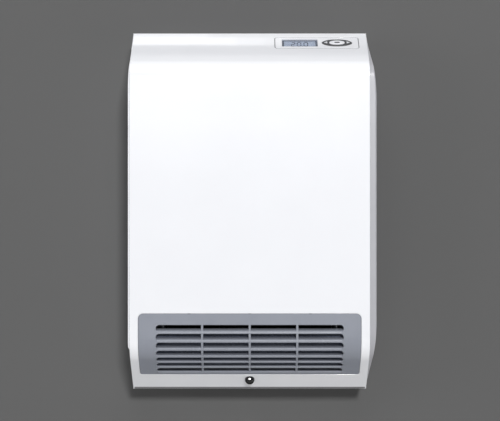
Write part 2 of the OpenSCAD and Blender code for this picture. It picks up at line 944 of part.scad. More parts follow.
module impeller() {
    color([0.3, 0.31, 0.33])
        difference() {
            union() {
                across(impeller_l)
                    for (i = [0 : blade_count - 1])
                        translate(hub)
                            rotate(360 * i / blade_count)
                                translate([impeller_r - fan_blade_l * cos(fan_blade_tilt) - fan_blade_fit, 0])
                                    rotate(fan_blade_tilt)
                                        translate([0, -fan_blade_l * sin(fan_blade_tilt) / 2])
                                            square([fan_blade_l, fan_blade_t]);
                for (i = [0 : inner_discs + 1])
                    pin_x(impeller_r, disc_x(i) - disc_t / 2, disc_x(i) + disc_t / 2, shaft_y, shaft_z);
                for (side = [-1, 1])
                    pin_x(hub_r, side * (impeller_l - hub_l) / 2 - hub_l / 2,
                        side * (impeller_l - hub_l) / 2 + hub_l / 2, shaft_y, shaft_z);
            }
            pin_x(shaft_d / 2 + shaft_clear, -impeller_l / 2 - cut, impeller_l / 2 + cut, shaft_y, shaft_z);
        }
}

// Place of a disc along the impeller, from one end to the other
function disc_x(i) = (disc_t - impeller_l) / 2 + (impeller_l - disc_t) * i / (inner_discs + 1);

motor_strap_w = 14;
motor_screw_d = 3.5;
motor_screw_inset = 4.5;
motor_screw_z = motor_side / 2 - motor_screw_inset;
motor_screw_over = 2;
motor_screw_head_t = 1;
motor_spacer_t = 1.4;
rotor_over = 1;
leg_h = 20;
leg_w = 8;
coil_wall = 5;
coil_end_wall = 8;
coil_side_gap = 2;
collar_grip = 2.5;
yoke_z = shaft_z + motor_side / 2 + leg_h;
motor_outer_x = motor_x - motor_t / 2 - motor_strap_gap - motor_strap_t;
shaft_left_end = motor_outer_x - shaft_stub;
shaft_right_end = blower_w / 2 + bush_l / 2 + strap_clear + 2 * collar_t;

module shaft() {
    color([0.75, 0.76, 0.78]) {
        pin_x(shaft_d / 2, shaft_left_end, -impeller_l / 2 + hub_l, shaft_y, shaft_z);
        pin_x(shaft_d / 2, impeller_l / 2 - hub_l, shaft_right_end, shaft_y, shaft_z);
    }
}

// Ring on the shaft's line, from x0 to x1
module ring_on_shaft(r_in, r_out, x0, x1) {
    difference() {
        pin_x(r_out, x0, x1, shaft_y, shaft_z);
        pin_x(r_in, x0 - cut, x1 + cut, shaft_y, shaft_z);
    }
}

// The same, of length l and centred on a side plate of the blower
module ring_on_side_plate(side, r_in, r_out, l) {
    x = side * (blower_w - duct_t) / 2;
    ring_on_shaft(r_in, r_out, x - l / 2, x + l / 2);
}

module shaft_collars() {
    r = shaft_d / 2;
    x = (blower_w - duct_t + bush_l) / 2 + fit_gap;
    color([0.55, 0.56, 0.58]) {
        ring_on_shaft(r + shaft_clear, r + collar_grip, x, x + collar_t);
        ring_on_shaft(r + shaft_clear, r + collar_grip, -x - collar_t, -x);
    }
}

module bearing_bushes() {
    color([0.72, 0.5, 0.28])
        for (side = [-1, 1])
            ring_on_side_plate(side, shaft_d / 2 + shaft_clear, bush_r, bush_l);
}

module bush_grommets() {
    color([0.12, 0.12, 0.13])
        for (side = [-1, 1])
            ring_on_side_plate(side, bush_r + shaft_clear, grommet_r, grommet_l);
}

module motor_core() {
    color([0.42, 0.43, 0.46])
        across(motor_t, motor_x)
            difference() {
                union() {
                    translate(hub)
                        square(motor_side, center = true);
                    translate(hub + [-motor_side / 2, 0])
                        square([motor_side, motor_side / 2 + leg_h + leg_w]);
                }
                translate(hub + [leg_w - motor_side / 2, motor_side / 2])
                    square([motor_side - 2 * leg_w, leg_h]);
                translate(hub)
                    circle(rotor_d / 2 + rotor_gap, $fn = round_fn);
                for (z = [-1, 1])
                    translate(hub + [0, z * motor_screw_z])
                        circle(motor_screw_d / 2 + shaft_clear, $fn = round_fn);
            }
}

module motor_coil() {
    half_w = motor_side / 2 - leg_w - coil_side_gap;
    color([0.7, 0.38, 0.16])
        difference() {
            block([motor_x - motor_t / 2 - coil_wall, shaft_y - half_w, yoke_z - coil_end_wall],
                [motor_x + motor_t / 2 + coil_wall, shaft_y + half_w, yoke_z + leg_w + coil_end_wall]);
            block([motor_x - motor_t / 2 - fit_gap, shaft_y - half_w - cut, yoke_z - fit_gap],
                [motor_x + motor_t / 2 + fit_gap, shaft_y + half_w + cut, yoke_z + leg_w + fit_gap]);
        }
}

module motor_rotor() {
    color([0.6, 0.61, 0.63])
        ring_on_shaft(shaft_d / 2 + shaft_clear, rotor_d / 2,
            motor_x - motor_t / 2 - rotor_over, motor_x + motor_t / 2 + rotor_over);
}

// Two straps that hold the core, one each side
module motor_bracket() {
    color([0.66, 0.67, 0.69])
        for (side = [-1, 1])
            across(motor_strap_t, motor_x + side * (motor_t / 2 + motor_strap_gap + motor_strap_t / 2))
                difference() {
                    translate(hub)
                        square([motor_strap_w, motor_side], center = true);
                    translate(hub)
                        circle(shaft_d / 2 + strap_clear, $fn = round_fn);
                    for (z = [-1, 1])
                        translate(hub + [0, z * motor_screw_z])
                            circle(motor_screw_d / 2 + shaft_clear, $fn = round_fn);
                }
}

// Long screws with a spacer on each side of the core
module motor_screws() {
    r = motor_screw_d / 2;
    color([0.7, 0.71, 0.73])
        for (side_z = [-1, 1]) {
            z = shaft_z + side_z * motor_screw_z;
            pin_x(r, motor_outer_x - motor_screw_head_t, motor_screw_over + duct_t - blower_w / 2,
                shaft_y, z);
            pin_x(r + motor_spacer_t, motor_outer_x - 2 * motor_screw_head_t, motor_outer_x, shaft_y, z);
            for (side = [-1, 1]) {
                x = motor_x + side * (motor_t + motor_strap_gap) / 2;
                pin_x(r + motor_spacer_t, x - motor_strap_gap / 2, x + motor_strap_gap / 2, shaft_y, z);
            }
        }
}

// The heater stands across the duct, about half-way along its walls
heater_upper = tongue_tip + 0.55 * (tongue_end - tongue_tip);
heater_lower = scroll_tip + 0.5 * (scroll_end - scroll_tip);
heater_mid = (heater_upper + heater_lower) / 2;
heater_angle = atan2(heater_lower.x - heater_upper.x, heater_upper.y - heater_lower.y);
heater_frame_t = 2.4;
heater_half_l = duct_in_w / 2 - fit_gap;
mica_t = 1;
mica_pitch = 40;
mica_count = 5;
mica_set_in = 2;

// Frame in the duct with its -Y along the air flow
module in_duct() {
    translate([0, heater_mid.x, heater_mid.y])
        rotate([heater_angle, 0, 0])
            children();
}

// Height of a row of heating coils in the heater's frame
function coil_z(i) = (i - (coil_rows - 1) / 2) * (heater_h - 2 * heater_frame_t) / coil_rows;

module heater_frame() {
    half_h_in = heater_h / 2 - heater_frame_t;
    color([0.62, 0.63, 0.62])
        in_duct()
            difference() {
                block([-heater_half_l, -heater_d / 2, -heater_h / 2],
                    [heater_half_l, heater_d / 2, heater_h / 2]);
                block([heater_frame_t - heater_half_l, -heater_d, -half_h_in],
                    [heater_half_l - heater_frame_t, heater_d, half_h_in]);
            }
}

module heating_coils() {
    half_l = heater_half_l - heater_frame_t - fit_gap;
    color([0.45, 0.42, 0.4])
        in_duct()
            for (i = [0 : coil_rows - 1])
                pin_x(coil_d / 2, -half_l, half_l, 0, coil_z(i));
}

module mica_strips() {
    half_y = heater_d / 2 - mica_set_in;
    half_z = heater_h / 2 - heater_frame_t - fit_gap;
    color([0.75, 0.68, 0.52])
        in_duct()
            for (i = [0 : mica_count - 1])
                difference() {
                    translate([(i - (mica_count - 1) / 2) * mica_pitch, 0, 0])
                        block([-mica_t / 2, -half_y, -half_z], [mica_t / 2, half_y, half_z]);
                    for (row = [0 : coil_rows - 1])
                        pin_x(coil_d / 2 + fit_gap, -heater_half_l, heater_half_l, 0, coil_z(row));
                }
}

cutout_x = 55;
cutout_d = 15;
cutout_h = 8;
cutout_ear = 12;
cutout_ear_w = 8;
cutout_ear_t = 0.8;
tag_root = 1;
tag_gap = 8;
tag_w = 6;
tag_t = 0.8;
tag_h = 6;
fuse_x = -30;
fuse_l = 14;
fuse_d = 4.4;
fuse_lift = 2.4;
fuse_foot_gap = 9;
fuse_foot = [2, 8, 1.4];
on_tongue_share = 0.6;

// Frame on the outside of the duct's upper wall, at x, with its Z square to the wall
module on_tongue(x) {
    p = tongue_tip + on_tongue_share * (tongue_end - tongue_tip) + duct_t * tongue_n;
    translate([x, p.x, p.y])
        rotate([atan2(-tongue_n.x, tongue_n.y), 0, 0])
            children();
}

module thermal_cutout() {
    color([0.14, 0.14, 0.15])
        on_tongue(cutout_x) {
            cylinder(h = cutout_h, d = cutout_d, $fn = round_fn);
            block([-cutout_ear, -cutout_ear_w / 2, 0], [cutout_ear, cutout_ear_w / 2, cutout_ear_t]);
        }
    color([0.8, 0.78, 0.7])
        on_tongue(cutout_x)
            for (x = [-1, 1])
                translate([x * tag_gap / 2, 0, cutout_h])
                    block([-tag_t / 2, -tag_w / 2, -tag_root], [tag_t / 2, tag_w / 2, tag_h]);
}

module thermal_fuse() {
    color([0.85, 0.85, 0.86])
        on_tongue(fuse_x) {
            translate([-fuse_l / 2, 0, fuse_lift])
                rotate([0, 90, 0])
                    cylinder(h = fuse_l, d = fuse_d, $fn = round_fn);
            for (x = [-1, 1])
                translate([(x * fuse_foot_gap - fuse_foot.x) / 2, -fuse_foot.y / 2, 0])
                    cube(fuse_foot);
        }
}

board_front_y = board_y - board_t;

module power_board() {
    color([0.12, 0.38, 0.22])
        fore_aft(board_front_y, board_y)
            translate([board_x, board_z])
                square([board_w, board_h], center = true);
}

relay = [12.6, 15.4, 29];
relay_pitch = 17;
relay_side = 10;
relay_low = 8;

module relays() {
    color([0.1, 0.12, 0.16])
        for (i = [0 : 2])
            translate([board_x - board_w / 2 + relay_side + i * relay_pitch,
                board_front_y - relay.y, board_z - relay_low])
                cube(relay);
}

film_cap = [26, 15, 12];
film_cap_x = 8;
film_cap_z = 14;
round_cap_d = 12;
round_cap_l = 20;
round_cap_x = 50;
round_cap_z = 24;

module capacitor() {
    color([0.85, 0.75, 0.25])
        translate([board_x + film_cap_x, board_front_y - film_cap.y, board_z + film_cap_z])
            cube(film_cap);
    color([0.12, 0.14, 0.3])
        pin_y(round_cap_d / 2, board_front_y - round_cap_l, board_front_y,
            board_x + round_cap_x, board_z + round_cap_z);
}

triac = [10, 15, 14];
triac_x = 30;
triac_z = -30;
sink_x = 14;
sink_z = -36;
sink_plate = [44, 3, 26];
fins = 6;
fin_t = 2;
fin_l = 8;

module heat_sink() {
    fin_pitch = (sink_plate.x - fin_t) / (fins - 1);
    color([0.7, 0.71, 0.73])
        translate([board_x + sink_x, board_front_y - triac.y - sink_plate.y, board_z + sink_z]) {
            cube(sink_plate);
            for (i = [0 : fins - 1])
                translate([i * fin_pitch, -fin_l, 0])
                    cube([fin_t, fin_l + cut, sink_plate.z]);
        }
    color([0.2, 0.2, 0.21])
        translate([board_x + triac_x, board_front_y - triac.y, board_z + triac_z])
            cube(triac);
}

terminal = [46, 17, 22];
terminal_gap = 24;
terminal_x = inlet_x - terminal_gap - terminal.x;
terminal_bore = 5.2;
terminal_row = 10;
terminal_floor = 6;
poles = 4;

module terminal_block() {
    color([0.9, 0.9, 0.86])
        difference() {
            translate([terminal_x, inner_back_y - terminal.y, inlet_z - terminal.z / 2])
                cube(terminal);
            for (i = [0 : poles - 1], row = [-1, 1])
                pin_y(terminal_bore / 2, inner_back_y - terminal.y - cut, inner_back_y - terminal_floor,
                    terminal_x + (i + 0.5) * terminal.x / poles, inlet_z + row * terminal_row / 2);
        }
}

gland_bore = 10;
gland_lip = 2.4;

module cable_gland() {
    body_r = inlet_d / 2 - shaft_clear;
    color([0.12, 0.12, 0.13])
        difference() {
            union() {
                pin_y(body_r, inner_back_y - gland_lip, back_y + gland_lip, inlet_x, inlet_z);
                pin_y(body_r + gland_lip, inner_back_y - gland_lip, inner_back_y, inlet_x, inlet_z);
                pin_y(body_r + gland_lip, back_y, back_y + gland_lip, inlet_x, inlet_z);
            }
            pin_y(gland_bore / 2, inner_back_y - 2 * gland_lip, back_y + 2 * gland_lip, inlet_x, inlet_z);
        }
}

clamp = [32, 11, 8];
clamp_drop = 22;
clamp_cord_d = 8;
clamp_cord_in = 4.5;
clamp_screw_d = 6;
clamp_screw_h = 2;
clamp_screw_gap = 22;

module cord_clamp() {
    front = inner_back_y - clamp.y;
    color([0.85, 0.85, 0.82])
        difference() {
            translate([inlet_x - clamp.x / 2, front, inlet_z - clamp_drop - clamp.z / 2])
                cube(clamp);
            translate([inlet_x, inner_back_y - clamp_cord_in, inlet_z - clamp_drop - clamp.z])
                cylinder(h = 2 * clamp.z, d = clamp_cord_d, $fn = round_fn);
        }
    color([0.7, 0.71, 0.73])
        for (x = [-1, 1])
            pin_y(clamp_screw_d / 2, front - clamp_screw_h, front,
                inlet_x + x * clamp_screw_gap / 2, inlet_z - clamp_drop);
}

sensor_post = [8, 16, 10];
sensor_side = 6;
sensor_low = 34;
sensor_bead_d = 5;
sensor_bead_out = 3;
sensor_lead_d = 1.6;

module room_sensor() {
    x = side_x - wall - sensor_side - sensor_post.x;
    mid_x = x + sensor_post.x / 2;
    mid_z = sensor_low + sensor_post.z / 2 - half_h;
    front = inner_back_y - sensor_post.y;
    color([0.9, 0.9, 0.88])
        translate([x, front, sensor_low - half_h])
            cube(sensor_post);
    color([0.2, 0.12, 0.1])
        translate([mid_x, front - sensor_bead_out, mid_z])
            sphere(d = sensor_bead_d, $fn = round_fn);
    color([0.75, 0.7, 0.6])
        pin_y(sensor_lead_d / 2, front - sensor_bead_out + 1, front + 1, mid_x, mid_z);
}

module housing_screws() {
    color([0.7, 0.71, 0.73])
        for (x = [-1, 1], z = [boss_top_z, boss_low_z]) {
            pin_y(screw_d / 2, inner_back_y + cut - screw_l, back_y, x * boss_x, z);
            pin_y(screw_head_d / 2, back_y, back_y + screw_head_t, x * boss_x, z);
        }
}

// Wire that runs straight between points, round at each bend
module wire(points) {
    for (i = [0 : len(points) - 2]) {
        v = points[i + 1] - points[i];
        translate(points[i])
            rotate([0, acos(v.z / norm(v)), atan2(v.y, v.x)])
                cylinder(h = norm(v), d = wire_d, $fn = round_fn);
        if (i > 0)
            translate(points[i])
                sphere(d = wire_d + bend_swell, $fn = round_fn);
    }
}

bend_swell = 0.2;
wire_y = inner_back_y - (wire_d + bend_swell) / 2 - fit_gap;
wire_gap = 1;
wire_pitch = wire_d + wire_gap;
wire_top_z = board_z - board_h / 2 + post_inset;
wire_step = 4;
wire_side_gap = 14;
wire_over_hub = 60;
wire_end_pitch = 14;
wire_end_x = -20;
coil_lead = 10;
coil_lead_back = 14;
motor_wire_shift = 26;

module wiring() {
    color([0.25, 0.27, 0.35])
        for (i = [0 : 2]) {
            terminal_wire(i);
            motor_wire(i);
        }
}

// From the terminal block out to the right, up beside the blower and across to the power board
module terminal_wire(i) {
    start_z = inlet_z + terminal.z / 2 + fit_gap;
    x = terminal_x + (i + 0.5) * terminal.x / poles;
    right_x = blower_w / 2 + wire_side_gap + i * wire_pitch;
    low_z = start_z + wire_step + (2 - i) * wire_pitch;
    high_z = shaft_z + wire_over_hub + i * wire_pitch;
    end_x = wire_end_x + i * wire_end_pitch;
    wire([
        [x, wire_y, start_z], [x, wire_y, low_z], [right_x, wire_y, low_z],
        [right_x, wire_y, high_z], [end_x, wire_y, high_z], [end_x, wire_y, wire_top_z],
        [end_x, board_y + wire_d / 2 + fit_gap, wire_top_z + wire_step]
    ]);
}

// From the motor's coil up to the power board
module motor_wire(i) {
    coil_top = yoke_z + leg_w + coil_end_wall;
    x = motor_x + (i - 1) * wire_pitch;
    end_x = x + motor_wire_shift;
    wire([
        [x, shaft_y, coil_top + fit_gap], [x, shaft_y, coil_top + coil_lead],
        [x, wire_y, coil_top + coil_lead + coil_lead_back], [end_x, wire_y, wire_top_z],
        [end_x, board_y + wire_d / 2 + fit_gap, wire_top_z + wire_step]
    ]);
}

front_cover();
rear_housing();
wall_bracket();
bracket_clip();
left_cheek();
intake_frame();
filter_cassette();
filter_mesh();
outlet_grille();
grille_clips();
lock_screw();
lock_cam();
panel_insert();
lcd_window();
lcd_panel();
rocker_ring();
confirm_button();
control_board();
tact_switches();
scroll();
tongue();
blower_side_left();
blower_side_right();
impeller();
shaft();
shaft_collars();
bearing_bushes();
bush_grommets();
motor_core();
motor_coil();
motor_rotor();
motor_bracket();
motor_screws();
heater_frame();
heating_coils();
mica_strips();
thermal_cutout();
thermal_fuse();
power_board();
relays();
capacitor();
heat_sink();
terminal_block();
cable_gland();
cord_clamp();
room_sensor();
housing_screws();
wiring();
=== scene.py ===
"""Bathroom wall fan heater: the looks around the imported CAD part, its lights and its camera."""

import json
import math

import bpy
import numpy as np
from mathutils import Matrix, Vector
from mathutils.geometry import delaunay_2d_cdt


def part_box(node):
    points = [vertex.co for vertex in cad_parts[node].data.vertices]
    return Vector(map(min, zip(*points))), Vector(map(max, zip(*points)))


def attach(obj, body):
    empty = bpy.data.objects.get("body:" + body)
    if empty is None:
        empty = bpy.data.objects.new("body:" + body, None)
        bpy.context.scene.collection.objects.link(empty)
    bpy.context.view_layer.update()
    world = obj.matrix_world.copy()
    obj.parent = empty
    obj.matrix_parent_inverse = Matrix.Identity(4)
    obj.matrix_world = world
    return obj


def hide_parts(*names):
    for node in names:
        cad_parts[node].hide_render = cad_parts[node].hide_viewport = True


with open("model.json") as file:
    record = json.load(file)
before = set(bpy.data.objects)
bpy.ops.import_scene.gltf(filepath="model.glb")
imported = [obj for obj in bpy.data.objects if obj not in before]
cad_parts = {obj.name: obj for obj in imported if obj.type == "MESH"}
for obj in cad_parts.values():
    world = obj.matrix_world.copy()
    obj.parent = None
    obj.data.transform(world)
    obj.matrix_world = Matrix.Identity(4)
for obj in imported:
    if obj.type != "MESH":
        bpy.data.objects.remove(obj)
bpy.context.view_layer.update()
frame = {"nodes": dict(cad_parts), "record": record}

# ---- sizes, in metres

COVER_LOW, COVER_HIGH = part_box("front_cover")
HALF_W = COVER_HIGH.x
HALF_H = COVER_HIGH.z
FRONT_Y = COVER_LOW.y
SLANT_D = 0.061
CREASE_Y = FRONT_Y + SLANT_D
TOP_DROP = 0.049
BOTTOM_DROP = 0.0545
TOP_ROUND = 0.025
BOTTOM_ROUND = 0.042
WALL = 0.0025
GAP = 0.0003
EDGE = 0.0012
LOW_EDGE = 0.00245
OPENING_EDGE = 0.0004

TOP_ANGLE = math.atan2(TOP_DROP, SLANT_D)
BOTTOM_ANGLE = math.atan2(BOTTOM_DROP, SLANT_D)
TOP_TURN = math.pi / 2 - TOP_ANGLE
BOTTOM_TURN = math.pi / 2 - BOTTOM_ANGLE
TOP_TANGENT = TOP_ROUND * math.tan(TOP_TURN / 2)
BOTTOM_TANGENT = BOTTOM_ROUND * math.tan(BOTTOM_TURN / 2)
TOP_SLOPE_L = math.hypot(SLANT_D, TOP_DROP) - TOP_TANGENT
BOTTOM_SLOPE_L = math.hypot(SLANT_D, BOTTOM_DROP) - BOTTOM_TANGENT
TOP_CENTRE = Vector((FRONT_Y + TOP_ROUND, HALF_H - TOP_DROP - TOP_TANGENT))
BOTTOM_CENTRE = Vector((FRONT_Y + BOTTOM_ROUND, BOTTOM_DROP + BOTTOM_TANGENT - HALF_H))

# Distances down the cover's outer face from the top crease, where its straights and arcs meet
ARC_1 = TOP_SLOPE_L
FLAT_1 = ARC_1 + TOP_ROUND * TOP_TURN
ARC_2 = FLAT_1 + TOP_CENTRE.y - BOTTOM_CENTRE.y
SLOPE_2 = ARC_2 + BOTTOM_ROUND * BOTTOM_TURN
FACE_L = SLOPE_2 + BOTTOM_SLOPE_L


def face_frame(s):
    """Point (y, z) on the cover's outer face at the distance s, and its outward normal (y, z)."""
    if s < ARC_1:
        n = Vector((-math.sin(TOP_ANGLE), math.cos(TOP_ANGLE)))
        return Vector((CREASE_Y, HALF_H)) + s * Vector((-n.y, n.x)), n
    if s < FLAT_1:
        a = math.pi / 2 + TOP_ANGLE + (s - ARC_1) / TOP_ROUND
        n = Vector((math.cos(a), math.sin(a)))
        return TOP_CENTRE + TOP_ROUND * n, n
    if s < ARC_2:
        return Vector((FRONT_Y, TOP_CENTRE.y - (s - FLAT_1))), Vector((-1.0, 0.0))
    if s < SLOPE_2:
        a = math.pi + (s - ARC_2) / BOTTOM_ROUND
        n = Vector((math.cos(a), math.sin(a)))
        return BOTTOM_CENTRE + BOTTOM_ROUND * n, n
    n = Vector((-math.sin(BOTTOM_ANGLE), -math.cos(BOTTOM_ANGLE)))
    start = BOTTOM_CENTRE + BOTTOM_ROUND * n
    return start + (s - SLOPE_2) * Vector((-n.y, n.x)), n


def on_face(u, v, t):
    """Point at the width u and the distance v down the cover's face, t inside it, with its frame."""
    p, n = face_frame(v)
    q = p - t * n
    return Vector((u, q.x, q.y)), Vector((0, n.x, n.y)), Vector((1, 0, 0)), Vector((0, -n.y, n.x))


BISECTIONS = 40


def face_distance(z):
    """Distance down the cover's face at which it has the height z."""
    low, high = 0.0, FACE_L
    for _ in range(BISECTIONS):
        mid = (low + high) / 2
        if face_frame(mid)[0].y > z:
            low = mid
        else:
            high = mid
    return low


def plane(origin, x_axis, y_axis):
    """Placing function of a flat sheet whose outward normal is x_axis cross y_axis."""
    origin, x_axis, y_axis = Vector(origin), Vector(x_axis).normalized(), Vector(y_axis).normalized()
    normal = x_axis.cross(y_axis)

    def place(u, v, t):
        return origin + u * x_axis + v * y_axis - t * normal, normal, x_axis, y_axis

    return place


# ---- outlines in the plane

COARSE_STEP = 0.006
MIDDLE_STEP = 0.004
FINE_STEP = 0.003
TOLERANCE = 1e-6
WELD = 1e-7
LEAST_MITRE = 0.4


def steps(a, b, n):
    """The n + 1 even steps from a to b."""
    return [a + (b - a) * i / n for i in range(n + 1)]


def split_long(points, step):
    """The closed loop with its long sides cut into pieces no longer than step."""
    out = []
    for i, p in enumerate(points):
        q = points[(i + 1) % len(points)]
        parts = max(1, math.ceil((q - p).length / step - TOLERANCE))
        out += [p.lerp(q, k / parts) for k in range(parts)]
    return out


def rounded_loop(cx, cy, w, h, r, n=8, step=COARSE_STEP):
    """Rounded rectangle, anticlockwise. r is one radius, or four from the upper right corner on."""
    points = []
    radii = r if isinstance(r, list) else [r] * 4
    for (qx, qy, start), q in zip(((1, 1, 0), (-1, 1, 90), (-1, -1, 180), (1, -1, 270)), radii):
        centre = Vector((cx + qx * (w / 2 - q), cy + qy * (h / 2 - q)))
        for i in range(n + 1):
            a = math.radians(start + 90 * i / n)
            points.append(centre + q * Vector((math.cos(a), math.sin(a))))
    return split_long(points, step)


def oval_loop(cx, cy, w, h, n=72):
    """Ellipse of n points, anticlockwise."""
    angles = [2 * math.pi * i / n for i in range(n)]
    return [Vector((cx + w / 2 * math.cos(a), cy + h / 2 * math.sin(a))) for a in angles]


def rect_loop(x0, y0, x1, y1, step=COARSE_STEP):
    """Rectangle, anticlockwise from its lower left corner."""
    return split_long([Vector(c) for c in ((x0, y0), (x1, y0), (x1, y1), (x0, y1))], step)


def down_face(loop):
    """A loop drawn as (x, z) from the front, laid on the cover's face as (u, v), anticlockwise."""
    return [Vector((p.x, face_distance(p.y))) for p in reversed(loop)]


def sideways(loop):
    """Unit mitre direction to the left of an anticlockwise loop at each point, and its length."""
    out = []
    for i, p in enumerate(loop):
        a = (p - loop[i - 1]).normalized()
        b = (loop[(i + 1) % len(loop)] - p).normalized()
        m = Vector((-(a.y + b.y), a.x + b.x)).normalized()
        out.append((m, 1 / max(LEAST_MITRE, m.dot(Vector((-b.y, b.x))))))
    return out


def inside(points, loop):
    """Which of the points lie inside the loop, by counting crossings."""
    x, y = points[:, 0], points[:, 1]
    result = np.zeros(len(points), bool)
    ring = np.array([(p.x, p.y) for p in loop])
    for (x0, y0), (x1, y1) in zip(ring, np.roll(ring, -1, axis=0)):
        if y0 != y1:
            crosses = (y0 > y) != (y1 > y)
            result ^= crosses & (x < (x1 - x0) * (y - y0) / (y1 - y0) + x0)
    return result


def between(points, loops):
    """Which of the points lie inside the first loop and outside the others."""
    keep = inside(points, loops[0])
    for loop in loops[1:]:
        keep &= ~inside(points, loop)
    return keep


def fill(loops, extra):
    """Triangles between the first loop and the others, as indices into their points and the extra."""
    flat = [p for loop in loops for p in loop]
    edges, start = [], 0
    for loop in loops:
        edges += [(start + i, start + (i + 1) % len(loop)) for i in range(len(loop))]
        start += len(loop)
    verts, _, faces, origin = delaunay_2d_cdt(flat + extra, edges, [], 0, WELD)[:4]
    xy = np.array([tuple(v) for v in verts])
    keep = between(np.array([xy[list(f)].mean(axis=0) for f in faces]), loops)
    return [tuple(origin[k][0] for k in f) for f, wanted in zip(faces, keep) if wanted]


def grid_points(loops, us, vs, margin):
    """Grid points between the loops, at least margin away from them."""
    grid = np.array([(u, v) for v in vs for u in us])
    if not len(grid):
        return []
    grid = grid[between(grid, loops)]
    ring = np.array([tuple(p) for loop in loops for p in loop])
    return [Vector(g) for g in grid if np.min(np.hypot(*(ring - g).T)) > margin]


# ---- solids with rounded edges

GRID_MARGIN = 0.0008
SOFT_HAIR, CRISP_HAIR = 0.00005, 0.00002


def make_object(name, verts, faces, normals=None):
    """Smooth-shaded mesh object, with its normals if they are given."""
    mesh = bpy.data.meshes.new(name)
    mesh.from_pydata([tuple(v) for v in verts], [], faces)
    mesh.update()
    mesh.polygons.foreach_set("use_smooth", [True] * len(mesh.polygons))
    if normals is not None:
        mesh.normals_split_custom_set_from_vertices([tuple(n) for n in normals])
    obj = bpy.data.objects.new(name, mesh)
    bpy.context.scene.collection.objects.link(obj)
    return obj


def ring_faces(starts, cuts):
    """Quads between the rings of edge points that begin at the starts, loop by loop."""
    faces = []
    for a, b in zip(starts, starts[1:]):
        for start, end in zip(cuts, cuts[1:]):
            for i in range(start, end):
                j = i + 1 if i + 1 < end else start
                faces.append((a + i, b + i, b + j, a + j))
    return faces


def sheet(name, place, outer, holes=(), thick=WALL, fillet=0.0006, us=(), vs=(), crown=None, rings=4):
    """Closed sheet of even thickness whose outer edges are rounded.

    place(u, v, t) gives the point t inside the outer face, its normal and its two tangents. All
    loops run anticlockwise. crown(u, v) is how far the face is lifted. fillet is the radius of the
    rounding, or a function of the edge's points that gives it, and rings is its number of steps.
    us and vs are the columns and rows of mesh points between the loops.
    """
    loops = [list(outer)] + [list(reversed(h)) for h in holes]
    sides = [side for loop in loops for side in sideways(loop)]
    edge = [p for loop in loops for p in loop]
    radii = [fillet(p) if callable(fillet) else fillet for p in edge]
    top = [p + m * k * r for p, (m, k), r in zip(edge, sides, radii)]
    cuts = [sum(len(loop) for loop in loops[:i]) for i in range(len(loops) + 1)]
    extra = grid_points(loops, us, vs, max(radii) + GRID_MARGIN)
    faces = fill([top[a:b] for a, b in zip(cuts, cuts[1:])], extra)
    verts, normals = [], []

    def add(uv, t, away=None, turn=0.0, flip=1):
        lift = crown(uv.x, uv.y) if crown and t < thick else 0.0
        p, n, eu, ev = place(uv.x, uv.y, t - lift)
        if away is not None:
            n = math.cos(turn) * n + math.sin(turn) * (away.x * eu + away.y * ev)
        verts.append(p)
        normals.append(flip * n.normalized())

    for uv in top + extra:
        add(uv, 0.0)
    # Without a fillet the rings are the sharp edge alone
    turns = [math.pi / 2 * k / rings for k in range(1, rings + 1)] if fillet else [math.pi / 2]
    ring_starts = [0] if fillet else []
    for turn, depth in [(turn, 0) for turn in turns] + [(math.pi / 2, thick)]:
        ring_starts.append(len(verts))
        for p, (m, mitre), r in zip(edge, sides, radii):
            add(p + m * mitre * r * (1 - math.sin(turn)), depth or r * (1 - math.cos(turn)),
                away=-m, turn=turn)
    back = len(verts)
    for uv in edge + extra:
        add(uv, thick, flip=-1)
    solid = faces + [tuple(back + k for k in reversed(f)) for f in faces]
    solid += ring_faces(ring_starts, cuts)
    _, n, eu, ev = place(edge[0].x, edge[0].y, 0.0)
    if eu.cross(ev).dot(n) < 0:
        solid = [tuple(reversed(f)) for f in solid]
    return make_object(name, verts, solid, normals)


def join(name, *objs):
    """One object out of several, with their normals kept."""
    with bpy.context.temp_override(active_object=objs[0], selected_editable_objects=list(objs)):
        bpy.ops.object.join()
    objs[0].name = name
    return objs[0]


# ---- materials

CLOUD_SCALE = 14.0
SMUDGE_SCALE = 60.0
NOISE_LOW, NOISE_HIGH = 0.3, 0.7
METAL_GRAIN_DEPTH = 0.00001


def linear(r, g, b):
    """sRGB levels of 0 to 255 as linear light."""
    def one(c):
        c /= 255
        return c / 12.92 if c <= 0.04045 else ((c + 0.055) / 1.055) ** 2.4
    return one(r), one(g), one(b), 1.0


def scaled(colour, k):
    """The linear colour k times as bright."""
    return colour[0] * k, colour[1] * k, colour[2] * k, 1.0


def new_material(name):
    """Material with its nodes, links, main shader and object coordinates."""
    mat = bpy.data.materials.new(name)
    mat.use_nodes = True
    nodes = mat.node_tree.nodes
    shader = nodes["Principled BSDF"]
    place = nodes.new("ShaderNodeTexCoord")
    return mat, nodes, mat.node_tree.links, shader, place.outputs["Object"]


def put(node, values):
    """Sets the node's inputs, given by name."""
    for socket, value in values.items():
        node.inputs[socket].default_value = value


def noise(nodes, links, place, scale, detail=3.0, stretch=(1, 1, 1)):
    """Noise texture value, drawn out along the axes where stretch is small."""
    tex = nodes.new("ShaderNodeTexNoise")
    put(tex, {"Scale": scale, "Detail": detail})
    if stretch != (1, 1, 1):
        mapping = nodes.new("ShaderNodeMapping")
        put(mapping, {"Scale": stretch})
        links.new(place, mapping.inputs["Vector"])
        place = mapping.outputs["Vector"]
    links.new(place, tex.inputs["Vector"])
    return tex.outputs["Fac"]


def ramp(nodes, links, value, stops, socket):
    """Feeds the socket with the colours at the stops, as [(position, colour), ...]."""
    node = nodes.new("ShaderNodeValToRGB")
    node.color_ramp.elements[0].position, node.color_ramp.elements[0].color = stops[0]
    node.color_ramp.elements[1].position, node.color_ramp.elements[1].color = stops[-1]
    for position, colour in stops[1:-1]:
        node.color_ramp.elements.new(position).color = colour
    links.new(value, node.inputs["Fac"])
    links.new(node.outputs["Color"], socket)


